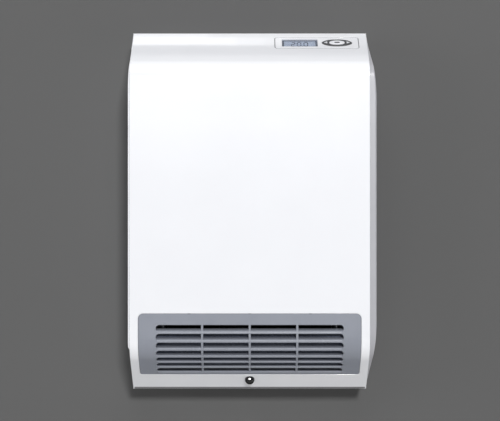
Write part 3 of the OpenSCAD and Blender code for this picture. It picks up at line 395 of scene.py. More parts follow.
def level(nodes, links, value, low, high, socket):
    """Feeds the socket with the noise value spread between low and high."""
    node = nodes.new("ShaderNodeMapRange")
    put(node, {"From Min": NOISE_LOW, "From Max": NOISE_HIGH, "To Min": low, "To Max": high})
    links.new(value, node.inputs["Value"])
    links.new(node.outputs["Result"], socket)


def bump(nodes, links, shader, height, strength, distance):
    """The height value as relief on the shader."""
    node = nodes.new("ShaderNodeBump")
    put(node, {"Strength": strength, "Distance": distance})
    links.new(height, node.inputs["Height"])
    links.new(node.outputs["Normal"], shader.inputs["Normal"])


def plastic(name, colour, roughness, coat=0.0, grain=900.0, depth=0.00002, mottle=0.03, specular=0.5):
    """Moulded plastic: faint cloudiness in its colour and gloss, and a fine moulded grain."""
    mat, nodes, links, shader, place = new_material(name)
    cloud = noise(nodes, links, place, CLOUD_SCALE)
    ramp(nodes, links, cloud, [(0.35, scaled(colour, 1 - mottle)), (0.65, colour)],
         shader.inputs["Base Color"])
    smudges = noise(nodes, links, place, SMUDGE_SCALE)
    level(nodes, links, smudges, roughness * 0.85, roughness * 1.15, shader.inputs["Roughness"])
    put(shader, {"Specular IOR Level": specular, "Coat Weight": coat, "Coat Roughness": 0.05})
    bump(nodes, links, shader, noise(nodes, links, place, grain, 2.0), 0.25, depth)
    return mat


def metal(name, colour, roughness, stretch=(1, 1, 1), scale=260.0):
    """Sheet or drawn metal with a fine grain, long where stretch is small."""
    mat, nodes, links, shader, place = new_material(name)
    grain = noise(nodes, links, place, scale, 4.0, stretch)
    ramp(nodes, links, grain, [(NOISE_LOW, scaled(colour, 0.86)), (NOISE_HIGH, colour)],
         shader.inputs["Base Color"])
    level(nodes, links, grain, roughness * 0.8, roughness * 1.25, shader.inputs["Roughness"])
    put(shader, {"Metallic": 1.0})
    bump(nodes, links, shader, grain, 0.3, METAL_GRAIN_DEPTH)
    return mat


def banded(name, dark, light, scale, direction, roughness, metallic):
    """Narrow bands across one axis, such as laminations, windings or wire turns."""
    mat, nodes, links, shader, place = new_material(name)
    wave = nodes.new("ShaderNodeTexWave")
    wave.bands_direction = direction
    put(wave, {"Scale": scale, "Distortion": 0.4})
    links.new(place, wave.inputs["Vector"])
    ramp(nodes, links, wave.outputs["Fac"], [(0.2, dark), (0.8, light)], shader.inputs["Base Color"])
    put(shader, {"Roughness": roughness, "Metallic": metallic})
    bump(nodes, links, shader, wave.outputs["Fac"], 0.6, 0.0002)
    return mat


def circuit_board(name):
    """Green solder resist over the lighter lines of the copper tracks."""
    mat, nodes, links, shader, place = new_material(name)
    cells = nodes.new("ShaderNodeTexVoronoi")
    cells.feature = "DISTANCE_TO_EDGE"
    cells.distance = "EUCLIDEAN"
    put(cells, {"Scale": 130.0})
    links.new(place, cells.inputs["Vector"])
    ramp(nodes, links, cells.outputs["Distance"],
         [(0.03, linear(24, 84, 52)), (0.06, linear(14, 58, 38))], shader.inputs["Base Color"])
    put(shader, {"Roughness": 0.35})
    bump(nodes, links, shader, cells.outputs["Distance"], 0.2, 0.00003)
    return mat


def filter_net(name):
    """Fine net drawn as a grid of dark holes between lighter threads."""
    mat, nodes, links, shader, place = new_material(name)
    brick = nodes.new("ShaderNodeTexBrick")
    brick.offset = 0.0
    put(brick, {"Scale": 400.0, "Mortar Size": 0.12, "Brick Width": 0.5, "Row Height": 0.5,
                "Color1": linear(22, 24, 27), "Color2": linear(28, 30, 33),
                "Mortar": linear(92, 96, 102)})
    turn = nodes.new("ShaderNodeMapping")
    put(turn, {"Rotation": (0.0, math.pi / 2, 0.0)})
    links.new(place, turn.inputs["Vector"])
    links.new(turn.outputs["Vector"], brick.inputs["Vector"])
    links.new(brick.outputs["Color"], shader.inputs["Base Color"])
    put(shader, {"Roughness": 0.6})
    bump(nodes, links, shader, brick.outputs["Fac"], 0.8, 0.0003)
    return mat


def clear_plastic(name):
    """Thin clear plastic: a faint blue haze with an anti-glare surface."""
    mat, nodes, links, shader, place = new_material(name)
    put(shader, {"Base Color": linear(150, 160, 178), "Alpha": 0.22, "Specular IOR Level": 0.3})
    level(nodes, links, noise(nodes, links, place, 90.0), 0.3, 0.4, shader.inputs["Roughness"])
    return mat


# Plastics: sRGB colour, roughness, and what differs from the usual grain, gloss and cloudiness
PLASTICS = {
    "cover_white": ((243, 244, 248), 0.16, {"coat": 1.0, "depth": 0.000012, "mottle": 0.012}),
    "housing_white": ((236, 236, 240), 0.42, {"grain": 1400, "depth": 0.00004}),
    "cheek_grey": ((171, 171, 176), 0.35, {"grain": 1200, "depth": 0.00004}),
    "cassette_grey": ((188, 189, 194), 0.42, {"grain": 1200, "depth": 0.00004}),
    "grille_grey": ((139, 143, 153), 0.38, {"grain": 1300, "depth": 0.00003}),
    "dome_black": ((8, 8, 10), 0.06, {"coat": 0.3, "depth": 0.000002, "mottle": 0.2}),
    "ring_grey": ((66, 67, 70), 0.34, {"grain": 1600, "depth": 0.00003}),
    "lcd_grey": ((214, 226, 244), 0.5, {"depth": 0.00001}),
    "black_plastic": ((40, 43, 51), 0.45, {"grain": 1100, "depth": 0.00004}),
    "fan_grey": ((64, 67, 71), 0.4, {"grain": 1100, "depth": 0.00003}),
    "rubber_black": ((26, 26, 28), 0.7, {"grain": 700, "depth": 0.00006}),
    # mica is darker than its own silver-brown: partly its colour, partly painted shade for the dark
    # inside of the outlet
    "mica": ((106, 99, 86), 0.3, {"grain": 240, "depth": 0.00008, "mottle": 0.25}),
    "part_cream": ((232, 230, 218), 0.45, {"mottle": 0.05}),
    "capacitor_yellow": ((208, 176, 62), 0.35, {"mottle": 0.05}),
    "fuse_white": ((224, 224, 226), 0.3, {"mottle": 0.05}),
    "wire_blue_grey": ((64, 70, 88), 0.45, {"mottle": 0.1}),
    "print_dark": ((70, 72, 78), 0.6, {}),
    "print_light": ((214, 216, 220), 0.5, {}),
    # Dark ring in the panel's gap: painted shade for the gap's depth
    "seam_dark": ((84, 86, 92), 0.6, {}),
    # Grey of the strip along the lower edge: painted shade for the shaded band below the slant
    "trim_grey": ((122, 122, 124), 0.5, {}),
    # Navy of the sheet behind the slots: painted shade for the inside of the outlet duct
    "duct_navy": ((72, 78, 96), 0.5, {}),
    "clip_grey": ((92, 96, 104), 0.45, {}),
    "border_dark": ((80, 86, 96), 0.5, {}),
    "segment_dark": ((44, 51, 68), 0.5, {}),
}

# Metals: sRGB colour, roughness, and what differs in the grain
METALS = {
    "zinc_steel": ((196, 199, 202), 0.38, {"scale": 120.0}),
    "bright_steel": ((205, 206, 208), 0.22, {"stretch": (0.1, 1, 1)}),
    "spring_steel": ((148, 150, 155), 0.3, {"stretch": (0.1, 1, 1)}),
    "bronze": ((186, 134, 78), 0.4, {}),
    "aluminium": ((200, 202, 205), 0.32, {"stretch": (1, 1, 0.1)}),
}

# Banded ones: dark and light sRGB colour, scale, direction, roughness, metallic
BANDS = {
    "core_steel": ((70, 72, 76), (138, 140, 146), 330.0, "X", 0.42, 0.9),
    "copper_winding": ((96, 40, 16), (196, 104, 52), 420.0, "Z", 0.3, 0.8),
    # heater_wire is darkened the same way: partly its colour, partly painted shade for the dark inside
    # of the outlet
    "heater_wire": ((48, 44, 42), (150, 138, 128), 250.0, "X", 0.45, 0.7),
}

MATERIALS = {}
for kind, make in ((PLASTICS, plastic), (METALS, metal)):
    for key, (srgb, rough, rest) in kind.items():
        MATERIALS[key] = make(key, linear(*srgb), rough, **rest)
for key, (dark_srgb, light_srgb, *rest) in BANDS.items():
    MATERIALS[key] = banded(key, linear(*dark_srgb), linear(*light_srgb), *rest)
MATERIALS["mesh_dark"] = filter_net("mesh_dark")
MATERIALS["lcd_glass"] = clear_plastic("lcd_glass")
MATERIALS["board_green"] = circuit_board("board_green")


def dress(obj, slot, body="casing", nodes=()):
    """The piece gets the slot's material and its body, and stands for the nodes."""
    obj.data.materials.append(MATERIALS[slot])
    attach(obj, body)
    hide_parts(*nodes)


def detail(obj, finish, body="casing"):
    """A small piece that stands for no CAD node gets its material and its body."""
    obj.data.materials.append(MATERIALS[finish])
    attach(obj, body)


# ---- the casing

# Rows of mesh points down the cover's face, closer together where it bends
FACE_ROWS = (steps(0.012, ARC_1, 4) + steps(ARC_1, FLAT_1, 16)[1:] + steps(FLAT_1, ARC_2, 12)[1:]
             + steps(ARC_2, SLOPE_2, 16)[1:] + steps(SLOPE_2, FACE_L - 0.01, 3)[1:])

GRILLE_W = 0.284
GRILLE_TOP = 0.1031 - HALF_H
GRILLE_BOTTOM = 0.0211 - HALF_H
GRILLE_CORNER = 0.0065
GRILLE_LOW_CORNER = 0.0024
LIP_BACK = 0.004
PANEL_W = 0.1096
PANEL_L = 0.0272
PANEL_CORNER = 0.0033
PANEL_X = (GRILLE_W - PANEL_W) / 2
PANEL_V = 0.0092 + PANEL_L / 2
LOCK_V = FACE_L - 0.0224
LOCK_R = 0.0063
SHANK_R = 0.003
NEAR = 0.0001
CORNER_FADE = 0.006
# Size and place of the grey strip of painted shade along the lower edge
EDGE_SHADE_L, EDGE_SHADE_T, EDGE_SHADE_CORNER = 0.0037, 0.0008, 0.0008
EDGE_SHADE_UP, EDGE_SHADE_INSET = 0.0003, 0.0015
EDGE_SHADE_PROUD = 0.0001
WINDOW_Y, WINDOW_Z = -0.070, 0.005
WINDOW_D, WINDOW_H = 0.084, 0.250
WINDOW_CORNER, LEAST_CORNER = 0.006, 0.001
WINDOW_LEDGE = 0.003


def grille_loop(g):
    """The grille's outline on the cover's face, grown by g, with tighter corners at its foot."""
    mid = (GRILLE_TOP + GRILLE_BOTTOM) / 2
    height = GRILLE_TOP - GRILLE_BOTTOM + 2 * g
    corners = [GRILLE_CORNER + g] * 2 + [GRILLE_LOW_CORNER + g] * 2
    return down_face(rounded_loop(0, mid, GRILLE_W + 2 * g, height, corners, step=FINE_STEP))


def window_loop(g, step=COARSE_STEP):
    """The filter window from the right side, grown by g."""
    corner = max(WINDOW_CORNER + g, LEAST_CORNER)
    return rounded_loop(WINDOW_Y, WINDOW_Z, WINDOW_D + 2 * g, WINDOW_H + 2 * g, corner, step=step)


def cover_edge(p):
    """Roundness of the cover's edges: softer at the lower edge, crisp round the openings."""
    if abs(p.x) > HALF_W - NEAR or p.y < NEAR:
        return EDGE
    if p.y > FACE_L - NEAR:
        return EDGE + (LOW_EDGE - EDGE) * min(1.0, (HALF_W - abs(p.x)) / CORNER_FADE)
    return OPENING_EDGE


def front_cover():
    """The wrapped face with its three openings, its two side walls and the grey strip of painted shade
    on its lower edge.
    """
    panel_hole = rounded_loop(PANEL_X, PANEL_V, PANEL_W, PANEL_L, PANEL_CORNER, step=FINE_STEP)
    lock_hole = oval_loop(0, LOCK_V, 2 * (SHANK_R + GAP), 2 * (SHANK_R + GAP), 24)
    wrap = sheet("cover_wrap", on_face, rect_loop(-HALF_W, 0, HALF_W, FACE_L, FINE_STEP),
                 [panel_hole, grille_loop(0), lock_hole], fillet=cover_edge,
                 us=steps(-HALF_W, HALF_W, 24), vs=FACE_ROWS)
    sides = [cover_side(-1), cover_side(1)]
    lower_edge_shade()
    dress(join("cover", wrap, *sides), "cover_white", nodes=["front_cover"])


def lower_edge_shade():
    """Thin grey strip along the underside's lower edge: painted shade for the shaded band below the
    slant.
    """
    def edge_shade_face(u, v, t):
        return on_face(u, v, t - EDGE_SHADE_PROUD)

    loop = rounded_loop(0, FACE_L - EDGE_SHADE_L / 2 - EDGE_SHADE_UP, 2 * (HALF_W - EDGE_SHADE_INSET), EDGE_SHADE_L,
                        EDGE_SHADE_CORNER, 4)
    detail(sheet("lower_edge_shade", edge_shade_face, loop, thick=EDGE_SHADE_T, fillet=0.0003, rings=2), "trim_grey")


def cover_side(side):
    """Side wall that fills the wrapped face's outline, with the air opening on the right."""
    points = [on_face(0, v, WALL)[0] for v in steps(0, FACE_L, 120)]
    points = [Vector((p.y, p.z)) for p in points if p.y < CREASE_Y - NEAR]
    loop = [Vector((CREASE_Y, points[0].y))] + points + [Vector((CREASE_Y, points[-1].y))]
    if side > 0:
        notch = [p for p in reversed(window_loop(-WINDOW_LEDGE)) if p.x < CREASE_Y - NEAR]
        loop += [Vector((CREASE_Y, notch[0].y))] + notch + [Vector((CREASE_Y, notch[-1].y))]
    else:
        loop = [Vector((-p.x, p.y)) for p in reversed(loop)]
    place = plane((side * HALF_W, 0, 0), (0, side, 0), (0, 0, 1))
    return sheet(f"cover_side_{side}", place, loop, fillet=0)


# ---- the side cheeks

CHEEK_INSET = 0.003
INTAKE_PROUD = 0.0083
PLAIN_PROUD = 0.0018
CHEEK_END = HALF_H - 2 * CHEEK_INSET
CHEEK_RAMP = 0.085
CHEEK_LEAST = 0.0002
CHEEK_EDGE = 0.0022
CHEEK_BACK_Y = -0.0005
SLOPE_REACH = 0.001
PLAIN_LOW, PLAIN_HIGH = 0.056 - HALF_H, HALF_H - 0.034
PLAIN_RISE = 0.003
PLAIN_FADE_START, PLAIN_FADE = 0.040, 0.042


def eased(x):
    """Smooth step from 0 to 1."""
    x = min(max(x, 0.0), 1.0)
    return x * x * (3 - 2 * x)


def intake_height(z):
    """How far the right cheek stands out at the height z: rounded off towards both ends."""
    u = min(1.0, max(0.0, (CHEEK_END - abs(z)) / CHEEK_RAMP))
    return max(CHEEK_LEAST, INTAKE_PROUD * math.sin(math.pi / 2 * u) ** 1.5)


def plain_height(z):
    """How far the left cheek stands out at the height z: a short step below, a long fade above."""
    fade = eased((z - PLAIN_HIGH + PLAIN_FADE_START) / PLAIN_FADE)
    return max(CHEEK_LEAST, PLAIN_PROUD * eased((z - PLAIN_LOW) / PLAIN_RISE) * (1 - fade))


def cheek_loop(side, low, high):
    """Outline of a cheek in (side * y, z), inside the casing's outline, between two heights."""
    wrap = [on_face(0, v, CHEEK_INSET)[0] for v in steps(0, FACE_L, 150)]
    wrap = [p for p in wrap if p.y < CREASE_Y and low < p.z < high]
    top, bottom = min(high, HALF_H - CHEEK_INSET), max(low, CHEEK_INSET - HALF_H)
    back = [Vector((0, CHEEK_BACK_Y, bottom)), Vector((0, CHEEK_BACK_Y, top))]
    front = [Vector((0, wrap[0].y, top))] + wrap + [Vector((0, wrap[-1].y, bottom))]
    loop = split_long([Vector((side * p.y, p.z)) for p in front + back], MIDDLE_STEP)
    return loop if side > 0 else list(reversed(loop))


def cheek(name, side, proud, height, low, high, holes, slot, node):
    """Cheek that stands out by height(z), set between two heights, with its edges rounded."""
    def place(u, v, t):
        out = height(v) * (1 - t / proud)
        slope = (height(v + SLOPE_REACH) - height(v - SLOPE_REACH)) / (2 * SLOPE_REACH)
        normal = Vector((side, 0, -slope)).normalized()
        return (Vector((side * (HALF_W + GAP + out), side * u, v)), normal,
                Vector((0, side, 0)), Vector((slope * side, 0, 1)).normalized())

    loop = cheek_loop(side, low, high)
    depths = [p.x for p in loop]
    obj = sheet(name, place, loop, holes, thick=proud, fillet=min(CHEEK_EDGE, proud * 0.8),
                us=steps(min(depths), max(depths), 8), vs=steps(low, high, 90), rings=6)
    dress(obj, slot, nodes=[node])


def side_cheeks():
    """The proud grey cheek with the filter window on the right, the low white one on the left."""
    cheek("cheek_intake", 1, INTAKE_PROUD, intake_height, -CHEEK_END, CHEEK_END,
          [window_loop(0, MIDDLE_STEP)], "cheek_grey", "intake_frame")
    cheek("cheek_plain", -1, PLAIN_PROUD, plain_height, PLAIN_LOW, PLAIN_HIGH,
          [], "cover_white", "left_cheek")


# ---- the filter in the right cheek

CASSETTE_X = HALF_W + GAP + 0.0014
CASSETTE_T = 0.006
CASSETTE_RIM = 0.007
LOUVRE_PITCH = 0.0125
LOUVRE_W, LOUVRE_EDGE = 0.0024, 0.0009
LOUVRE_SINK, UPRIGHT_SINK = 0.0006, 0.0003
MESH_T = 0.001
LOUVRE_D = CASSETTE_T - 2 * MESH_T - LOUVRE_SINK
BAR_ROOT = 0.001

# These turn a bar along X into one along Y, and into one along Z
TURN_BAR_UP = Matrix(((0, 0, 1, 0), (1, 0, 0, 0), (0, 1, 0, 0), (0, 0, 0, 1)))
TURN_BAR_TALL = Matrix(((0, 1, 0, 0), (0, 0, 1, 0), (1, 0, 0, 0), (0, 0, 0, 1)))


def bar(name, outline, x0, x1):
    """Solid along X with the outline given as (y, z), and sharp ends."""
    n = len(outline)
    verts = [(x, p[0], p[1]) for x in (x0, x1) for p in outline]
    faces = [(i, (i + 1) % n, n + (i + 1) % n, n + i) for i in range(n)]
    faces += [tuple(reversed(range(n))), tuple(range(n, 2 * n))]
    area = sum(outline[i][0] * outline[(i + 1) % n][1] - outline[(i + 1) % n][0] * outline[i][1]
               for i in range(n))
    if area < 0:
        faces = [tuple(reversed(f)) for f in faces]
    obj = make_object(name, verts, faces)
    obj.data.set_sharp_from_angle(angle=math.radians(40))
    return obj


def slab(w, h, r, n=4):
    """Rounded rectangle as points, without extra points along its sides."""
    return [tuple(p) for p in rounded_loop(0, 0, w, h, r, n, step=1.0)]


def filter_cassette():
    """Frame with rounded bars and one upright, over its net; both draw out to the right."""
    outer = window_loop(-GAP, MIDDLE_STEP)
    inner = window_loop(-CASSETTE_RIM, MIDDLE_STEP)
    x_out = CASSETTE_X + GAP + CASSETTE_T
    place = plane((x_out, 0, 0), (0, 1, 0), (0, 0, 1))
    pieces = [sheet("cassette_rim", place, outer, [inner], thick=CASSETTE_T, fillet=0.0014)]
    bars = int((WINDOW_H - 2 * CASSETTE_RIM) / LOUVRE_PITCH)
    half_d = WINDOW_D / 2 - CASSETTE_RIM + BAR_ROOT
    half_h = WINDOW_H / 2 - CASSETTE_RIM + BAR_ROOT
    x_mid = x_out - LOUVRE_SINK - LOUVRE_D / 2
    for i in range(bars):
        z = WINDOW_Z + (i - (bars - 1) / 2) * LOUVRE_PITCH
        louvre = bar(f"louvre_{i}", slab(LOUVRE_W, LOUVRE_D, LOUVRE_EDGE), -half_d, half_d)
        louvre.data.transform(Matrix.Translation((x_mid, WINDOW_Y, z)) @ TURN_BAR_UP)
        pieces.append(louvre)
    upright = bar("cassette_upright", slab(LOUVRE_D * 0.8, LOUVRE_W, LOUVRE_EDGE), -half_h, half_h)
    place_up = Matrix.Translation((x_mid - UPRIGHT_SINK, WINDOW_Y, WINDOW_Z))
    upright.data.transform(place_up @ TURN_BAR_TALL)
    pieces.append(upright)
    dress(join("cassette", *pieces), "cassette_grey", "filter", ["filter_cassette"])


# ---- the outlet grille

SLOT_L = 0.2386
SLOT_H = 0.0091
SLOT_PITCH = 0.01128
SLOT_START = 0.0146
SLOT_ROWS = 7
SLOT_CORNER = 0.0043
PLATE_T = 0.0013
PLATE_EDGE = 0.0005
RIB_W = 0.0027
RIB_PITCH = 0.0605
BLADE_D = 0.011
BLADE_T = 0.0014
BLADE_RISE = math.radians(8)
BLADE_FOOT, BLADE_BITE = 0.0010, 0.0004
LIP_H = 0.0030
LIP_D = 0.0055
LIP_CLEAR = 0.00005
RIB_ENDS, RIB_SINK = 0.002, 0.0003
GRILLE_V = face_distance(GRILLE_TOP)
# Dark sheet behind the slots, painted shade for the inside of the duct: its depth, thickness and first
# row
SHADE_SHEET_DEPTH, SHADE_SHEET_T, SHADE_SHEET_ROW = 0.0125, 0.0008, 1
CLIP_PITCH, CLIP_W, CLIP_H, CLIP_T = 0.077, 0.0036, 0.0012, 0.0007
CLIP_SINK, CLIP_CORNER = 0.00003, 0.0003


def slot_v(k):
    """Distance down the face of the middle of the slot in row k."""
    return GRILLE_V + SLOT_START + k * SLOT_PITCH + SLOT_H / 2


def grille_blade(k):
    """Blade that curves in from the lower edge of a slot and then rises a little inwards."""
    p, n, _, down = on_face(0, slot_v(k) + SLOT_H / 2 + PLATE_EDGE, LIP_CLEAR)
    start, into, up = Vector((p.y, p.z)), Vector((-n.y, -n.z)), Vector((-down.y, -down.z))
    inward = Vector((math.cos(BLADE_RISE), math.sin(BLADE_RISE)))
    under = BLADE_T * Vector((inward.y, -inward.x))
    knee = start + LIP_H * up
    lip = [start.lerp(knee, q).lerp(knee.lerp(knee + LIP_D * inward, q), q) for q in steps(0, 1, 9)]
    end = knee + BLADE_D * inward
    foot = [start + depth * into - BLADE_BITE * up for depth in (BLADE_FOOT, BLADE_BITE)]
    half = SLOT_L / 2 + RIB_W
    outline = lip + [end, end + under, knee + LIP_D * inward + under] + foot
    return bar(f"blade_{k}", [tuple(q) for q in outline], -half, half)


def grille_rib(name, x, t0):
    """Upright rib that follows the face, from the depth t0 to the blades' depth."""
    reach = SLOT_H / 2 + RIB_ENDS
    rows = steps(slot_v(0) - reach, slot_v(SLOT_ROWS - 1) + reach, 40)
    points = [on_face(0, v, t0)[0] for v in rows] + [on_face(0, v, BLADE_D)[0] for v in reversed(rows)]
    return bar(name, [(p.y, p.z) for p in points], x - RIB_W / 2, x + RIB_W / 2)


def outlet_grille():
    """Bent face plate with a blade under each slot and upright ribs, the dark sheet of painted shade
    behind it, and its clips.
    """
    slots = [rounded_loop(0, slot_v(k), SLOT_L, SLOT_H, SLOT_CORNER, step=MIDDLE_STEP)
             for k in range(SLOT_ROWS)]
    first, last = GRILLE_V, face_distance(GRILLE_BOTTOM)
    pieces = [sheet("grille_face", on_face, grille_loop(-GAP), slots, thick=PLATE_T, fillet=PLATE_EDGE,
                    us=steps(-GRILLE_W / 2, GRILLE_W / 2, 40), vs=steps(first, last, 48))]
    pieces += [grille_blade(k) for k in range(SLOT_ROWS)]
    pieces += [grille_rib(f"rib_{i}", i * RIB_PITCH, RIB_SINK) for i in (-1, 0, 1)]
    end_x = SLOT_L / 2 + RIB_W
    pieces += [grille_rib(f"end_rib_{i}", i * end_x, PLATE_T / 2) for i in (-1, 1)]
    dress(join("grille", *pieces), "grille_grey", nodes=["outlet_grille"])
    duct_shade_sheet()
    for i in (-1, 0, 1):
        grille_clip(f"grille_clip_{i}", i * CLIP_PITCH)


def duct_shade_sheet():
    """Dark navy sheet behind the lower rows of slots: painted shade for the inside of the outlet duct.
    """
    v0, v1 = slot_v(SHADE_SHEET_ROW) - SLOT_H / 2, slot_v(SLOT_ROWS - 1) + SLOT_H / 2

    def behind(u, v, t):
        return on_face(u, v, SHADE_SHEET_DEPTH + t)

    loop = rect_loop(-SLOT_L / 2, v0, SLOT_L / 2, v1)
    shade_sheet = sheet("duct_shade_sheet", behind, loop, thick=SHADE_SHEET_T, fillet=0, vs=steps(v0, v1, 16))
    detail(shade_sheet, "duct_navy")


def grille_clip(name, x):
    """Small clip at the grille's upper edge, a hair inside the cover's face."""
    def just_inside(u, v, t):
        return on_face(u, v, t + CLIP_SINK)

    loop = rounded_loop(x, GRILLE_V + CLIP_H / 4, CLIP_W, CLIP_H, CLIP_CORNER, 4)
    detail(sheet(name, just_inside, loop, thick=CLIP_T, fillet=SOFT_HAIR, rings=1), "clip_grey")


# ---- the control panel

PANEL_Y = CREASE_Y - PANEL_V * math.cos(TOP_ANGLE)
PANEL_Z = HALF_H - (CREASE_Y - PANEL_Y) * math.tan(TOP_ANGLE)
SLANT_UP = Vector((0, math.cos(TOP_ANGLE), math.sin(TOP_ANGLE)))
SLANT_OUT = Vector((0, -math.sin(TOP_ANGLE), math.cos(TOP_ANGLE)))
LCD_X = -0.0221
LCD_W, LCD_L, LCD_CORNER = 0.0464, 0.0175, 0.001
RING_X = 0.0263
RING_W, RING_L = 0.039, 0.0168
BUTTON_W, BUTTON_L = 0.0202, 0.009
RING_TOP, RING_BOTTOM = 0.0007, -0.0051
BUTTON_TOP, BUTTON_BOTTOM = 0.0016, -0.0049
RING_CROWN, BUTTON_CROWN, BUTTON_RIM = 0.0007, 0.0005, 0.0006
CROWN_GROWTH = 3
PANEL_GAP = 0.0008
# Dark ring in the panel's gap, painted shade for the gap's depth: its sink, thickness and margin
GAP_SHADE_SINK, GAP_SHADE_T, GAP_SHADE_MARGIN = 0.0003, 0.0008, 0.0001
MARK_X = (RING_W + BUTTON_W) / 4
MARK_HALF_H, MARK_REACH, MARK_STEP, MARK_T = 0.0027, 0.0044, 0.001, 0.0002
BUTTON_MARK_Y, BUTTON_MARK_W, BUTTON_MARK_H = -0.0012, 0.0070, 0.0026
BUTTON_MARK_SINK, BUTTON_MARK_T, BUTTON_MARK_CORNER = 0.0001, 0.0004, 0.0012


def on_panel(rise, x=0.0):
    """Placing function on the top slant, centred on the panel or x beside it, rise above it."""
    origin = Vector((PANEL_X + x, PANEL_Y, PANEL_Z)) + rise * SLANT_OUT
    return plane(origin, (1, 0, 0), SLANT_UP)


def panel_insert():
    """White panel with its openings for the display and the ring, and a thin dark ring in the gap
    round it: painted shade for the gap's depth.
    """
    outer = rounded_loop(0, 0, PANEL_W - 2 * PANEL_GAP, PANEL_L - 2 * PANEL_GAP,
                         PANEL_CORNER - PANEL_GAP, step=FINE_STEP)
    lcd = rounded_loop(LCD_X, 0, LCD_W, LCD_L, LCD_CORNER, 4)
    ring = oval_loop(RING_X, 0, RING_W + 2 * GAP, RING_L + 2 * GAP)
    insert = sheet("insert", on_panel(0), outer, [lcd, ring], thick=LIP_BACK, fillet=0.0003)
    dress(insert, "cover_white", nodes=["panel_insert"])
    gap_outline = rounded_loop(0, 0, PANEL_W - GAP_SHADE_MARGIN, PANEL_L - GAP_SHADE_MARGIN, PANEL_CORNER, step=FINE_STEP)
    gap_shade = sheet("panel_gap_shade", on_panel(-GAP_SHADE_SINK), gap_outline, [outer],
                 thick=GAP_SHADE_T, fillet=SOFT_HAIR, rings=1)
    detail(gap_shade, "seam_dark")


def rocker_ring():
    """Oval ring with a softly rounded top and a mark at each end."""
    def crown(u, v):
        inner = math.hypot(u / (BUTTON_W / 2 + GAP), v / (BUTTON_L / 2 + GAP))
        outer = math.hypot(u / (RING_W / 2), v / (RING_L / 2))
        grown = max(0.0, min(1.0, (inner - 1) * CROWN_GROWTH))
        return RING_CROWN * grown * math.sqrt(max(0.0, 1 - outer ** 4))

    rise = RING_TOP - RING_CROWN
    ring = sheet("ring", on_panel(rise, RING_X), oval_loop(0, 0, RING_W, RING_L, 96),
                 [oval_loop(0, 0, BUTTON_W + 2 * GAP, BUTTON_L + 2 * GAP, 72)],
                 thick=rise - RING_BOTTOM, fillet=0.0006, crown=crown,
                 us=steps(-RING_W / 2, RING_W / 2, 60), vs=steps(-RING_L / 2, RING_L / 2, 28))
    dress(ring, "ring_grey", "rocker", ["rocker_ring"])
    ring_mark("mark_-1", -1)
    ring_mark("mark_1", 1)


def ring_mark(name, side):
    """Printed arrowhead that points to the ring's end."""
    x = side * (MARK_X - MARK_REACH / 2)
    loop = [Vector((x, -MARK_HALF_H)), Vector((x + side * MARK_REACH, 0)), Vector((x, MARK_HALF_H))]
    loop = split_long(loop if side > 0 else loop[::-1], MARK_STEP)
    mark = sheet(name, on_panel(RING_TOP, RING_X), loop, thick=MARK_T, fillet=CRISP_HAIR / 2, rings=1)
    detail(mark, "print_light", "rocker")


def confirm_button():
    """Oval button inside the ring, with a low crown and a printed bar."""
    def crown(u, v):
        return BUTTON_CROWN * max(0.0, 1 - (u / (BUTTON_W / 2)) ** 2 - (v / (BUTTON_L / 2)) ** 2)

    rise = BUTTON_TOP - BUTTON_RIM
    button = sheet("button", on_panel(rise, RING_X), oval_loop(0, 0, BUTTON_W, BUTTON_L, 72),
                   thick=rise - BUTTON_BOTTOM, fillet=0.0007, crown=crown,
                   us=steps(-BUTTON_W / 2, BUTTON_W / 2, 24),
                   vs=steps(-BUTTON_L / 2, BUTTON_L / 2, 12))
    dress(button, "cover_white", "button", ["confirm_button"])
    mark = sheet("button_mark", on_panel(BUTTON_TOP - BUTTON_MARK_SINK, RING_X),
                 rounded_loop(0, BUTTON_MARK_Y, BUTTON_MARK_W, BUTTON_MARK_H, BUTTON_MARK_CORNER, 4),
                 thick=BUTTON_MARK_T, fillet=CRISP_HAIR, rings=1)
    detail(mark, "print_dark", "button")


# ---- the display

# Lit segments of each digit, lettered a to f round it from the top, with g across the middle
SEGMENTS = {"0": "abcdef", "2": "abged"}
SCREEN_TOP = -0.0022
GLASS_SINK, GLASS_T, GLASS_CORNER = 0.0004, 0.0016, 0.0007
MODULE_MARGIN, MODULE_T = 0.001, 0.0053
SCREEN_SINK, SCREEN_MARGIN, SCREEN_ROOT = 0.0002, 0.0018, 0.0004
BORDER_RISE, BORDER_T, BORDER_MARGIN = 0.00012, 0.0001, 0.0004
BORDER_HOLE_W, BORDER_HOLE_L = LCD_W - 0.0056, LCD_L - 0.0034
SCREEN_CORNER, BORDER_CORNER = 0.0006, 0.0008
DIGIT_W, DIGIT_H = 0.0046, 0.0094
DIGITS = (("2", -0.0086), ("0", -0.0008), ("0", 0.0080))
POINT_X, POINT_D = 0.0036, 0.0014
STROKE = 0.0013
FIGURE_SINK, FIGURE_T = 0.00005, 0.0002


def segment_loops(digit, x):
    """Outlines of the digit's lit segments, with pointed ends, centred on (x, 0)."""
    w, h, g = DIGIT_W / 2, DIGIT_H / 2, STROKE / 2
    level_y = {"a": h, "g": 0, "d": -h}
    upright = {"b": (w, h / 2), "c": (w, -h / 2), "e": (-w, -h / 2), "f": (-w, h / 2)}
    loops = []
    for name in SEGMENTS[digit]:
        if name in level_y:
            cy, end = level_y[name], w - g * 0.5
            points = ((-end, 0), (g - end, -g), (end - g, -g), (end, 0), (end - g, g), (g - end, g))
            loops.append([Vector((x + px, cy + py)) for px, py in points])
        else:
            (dx, dy), end = upright[name], h / 2 - g * 0.5
            points = ((0, -end), (g, g - end), (g, end - g), (0, end), (-g, end - g), (-g, g - end))
            loops.append([Vector((x + dx + px, dy + py)) for px, py in points])
    return loops


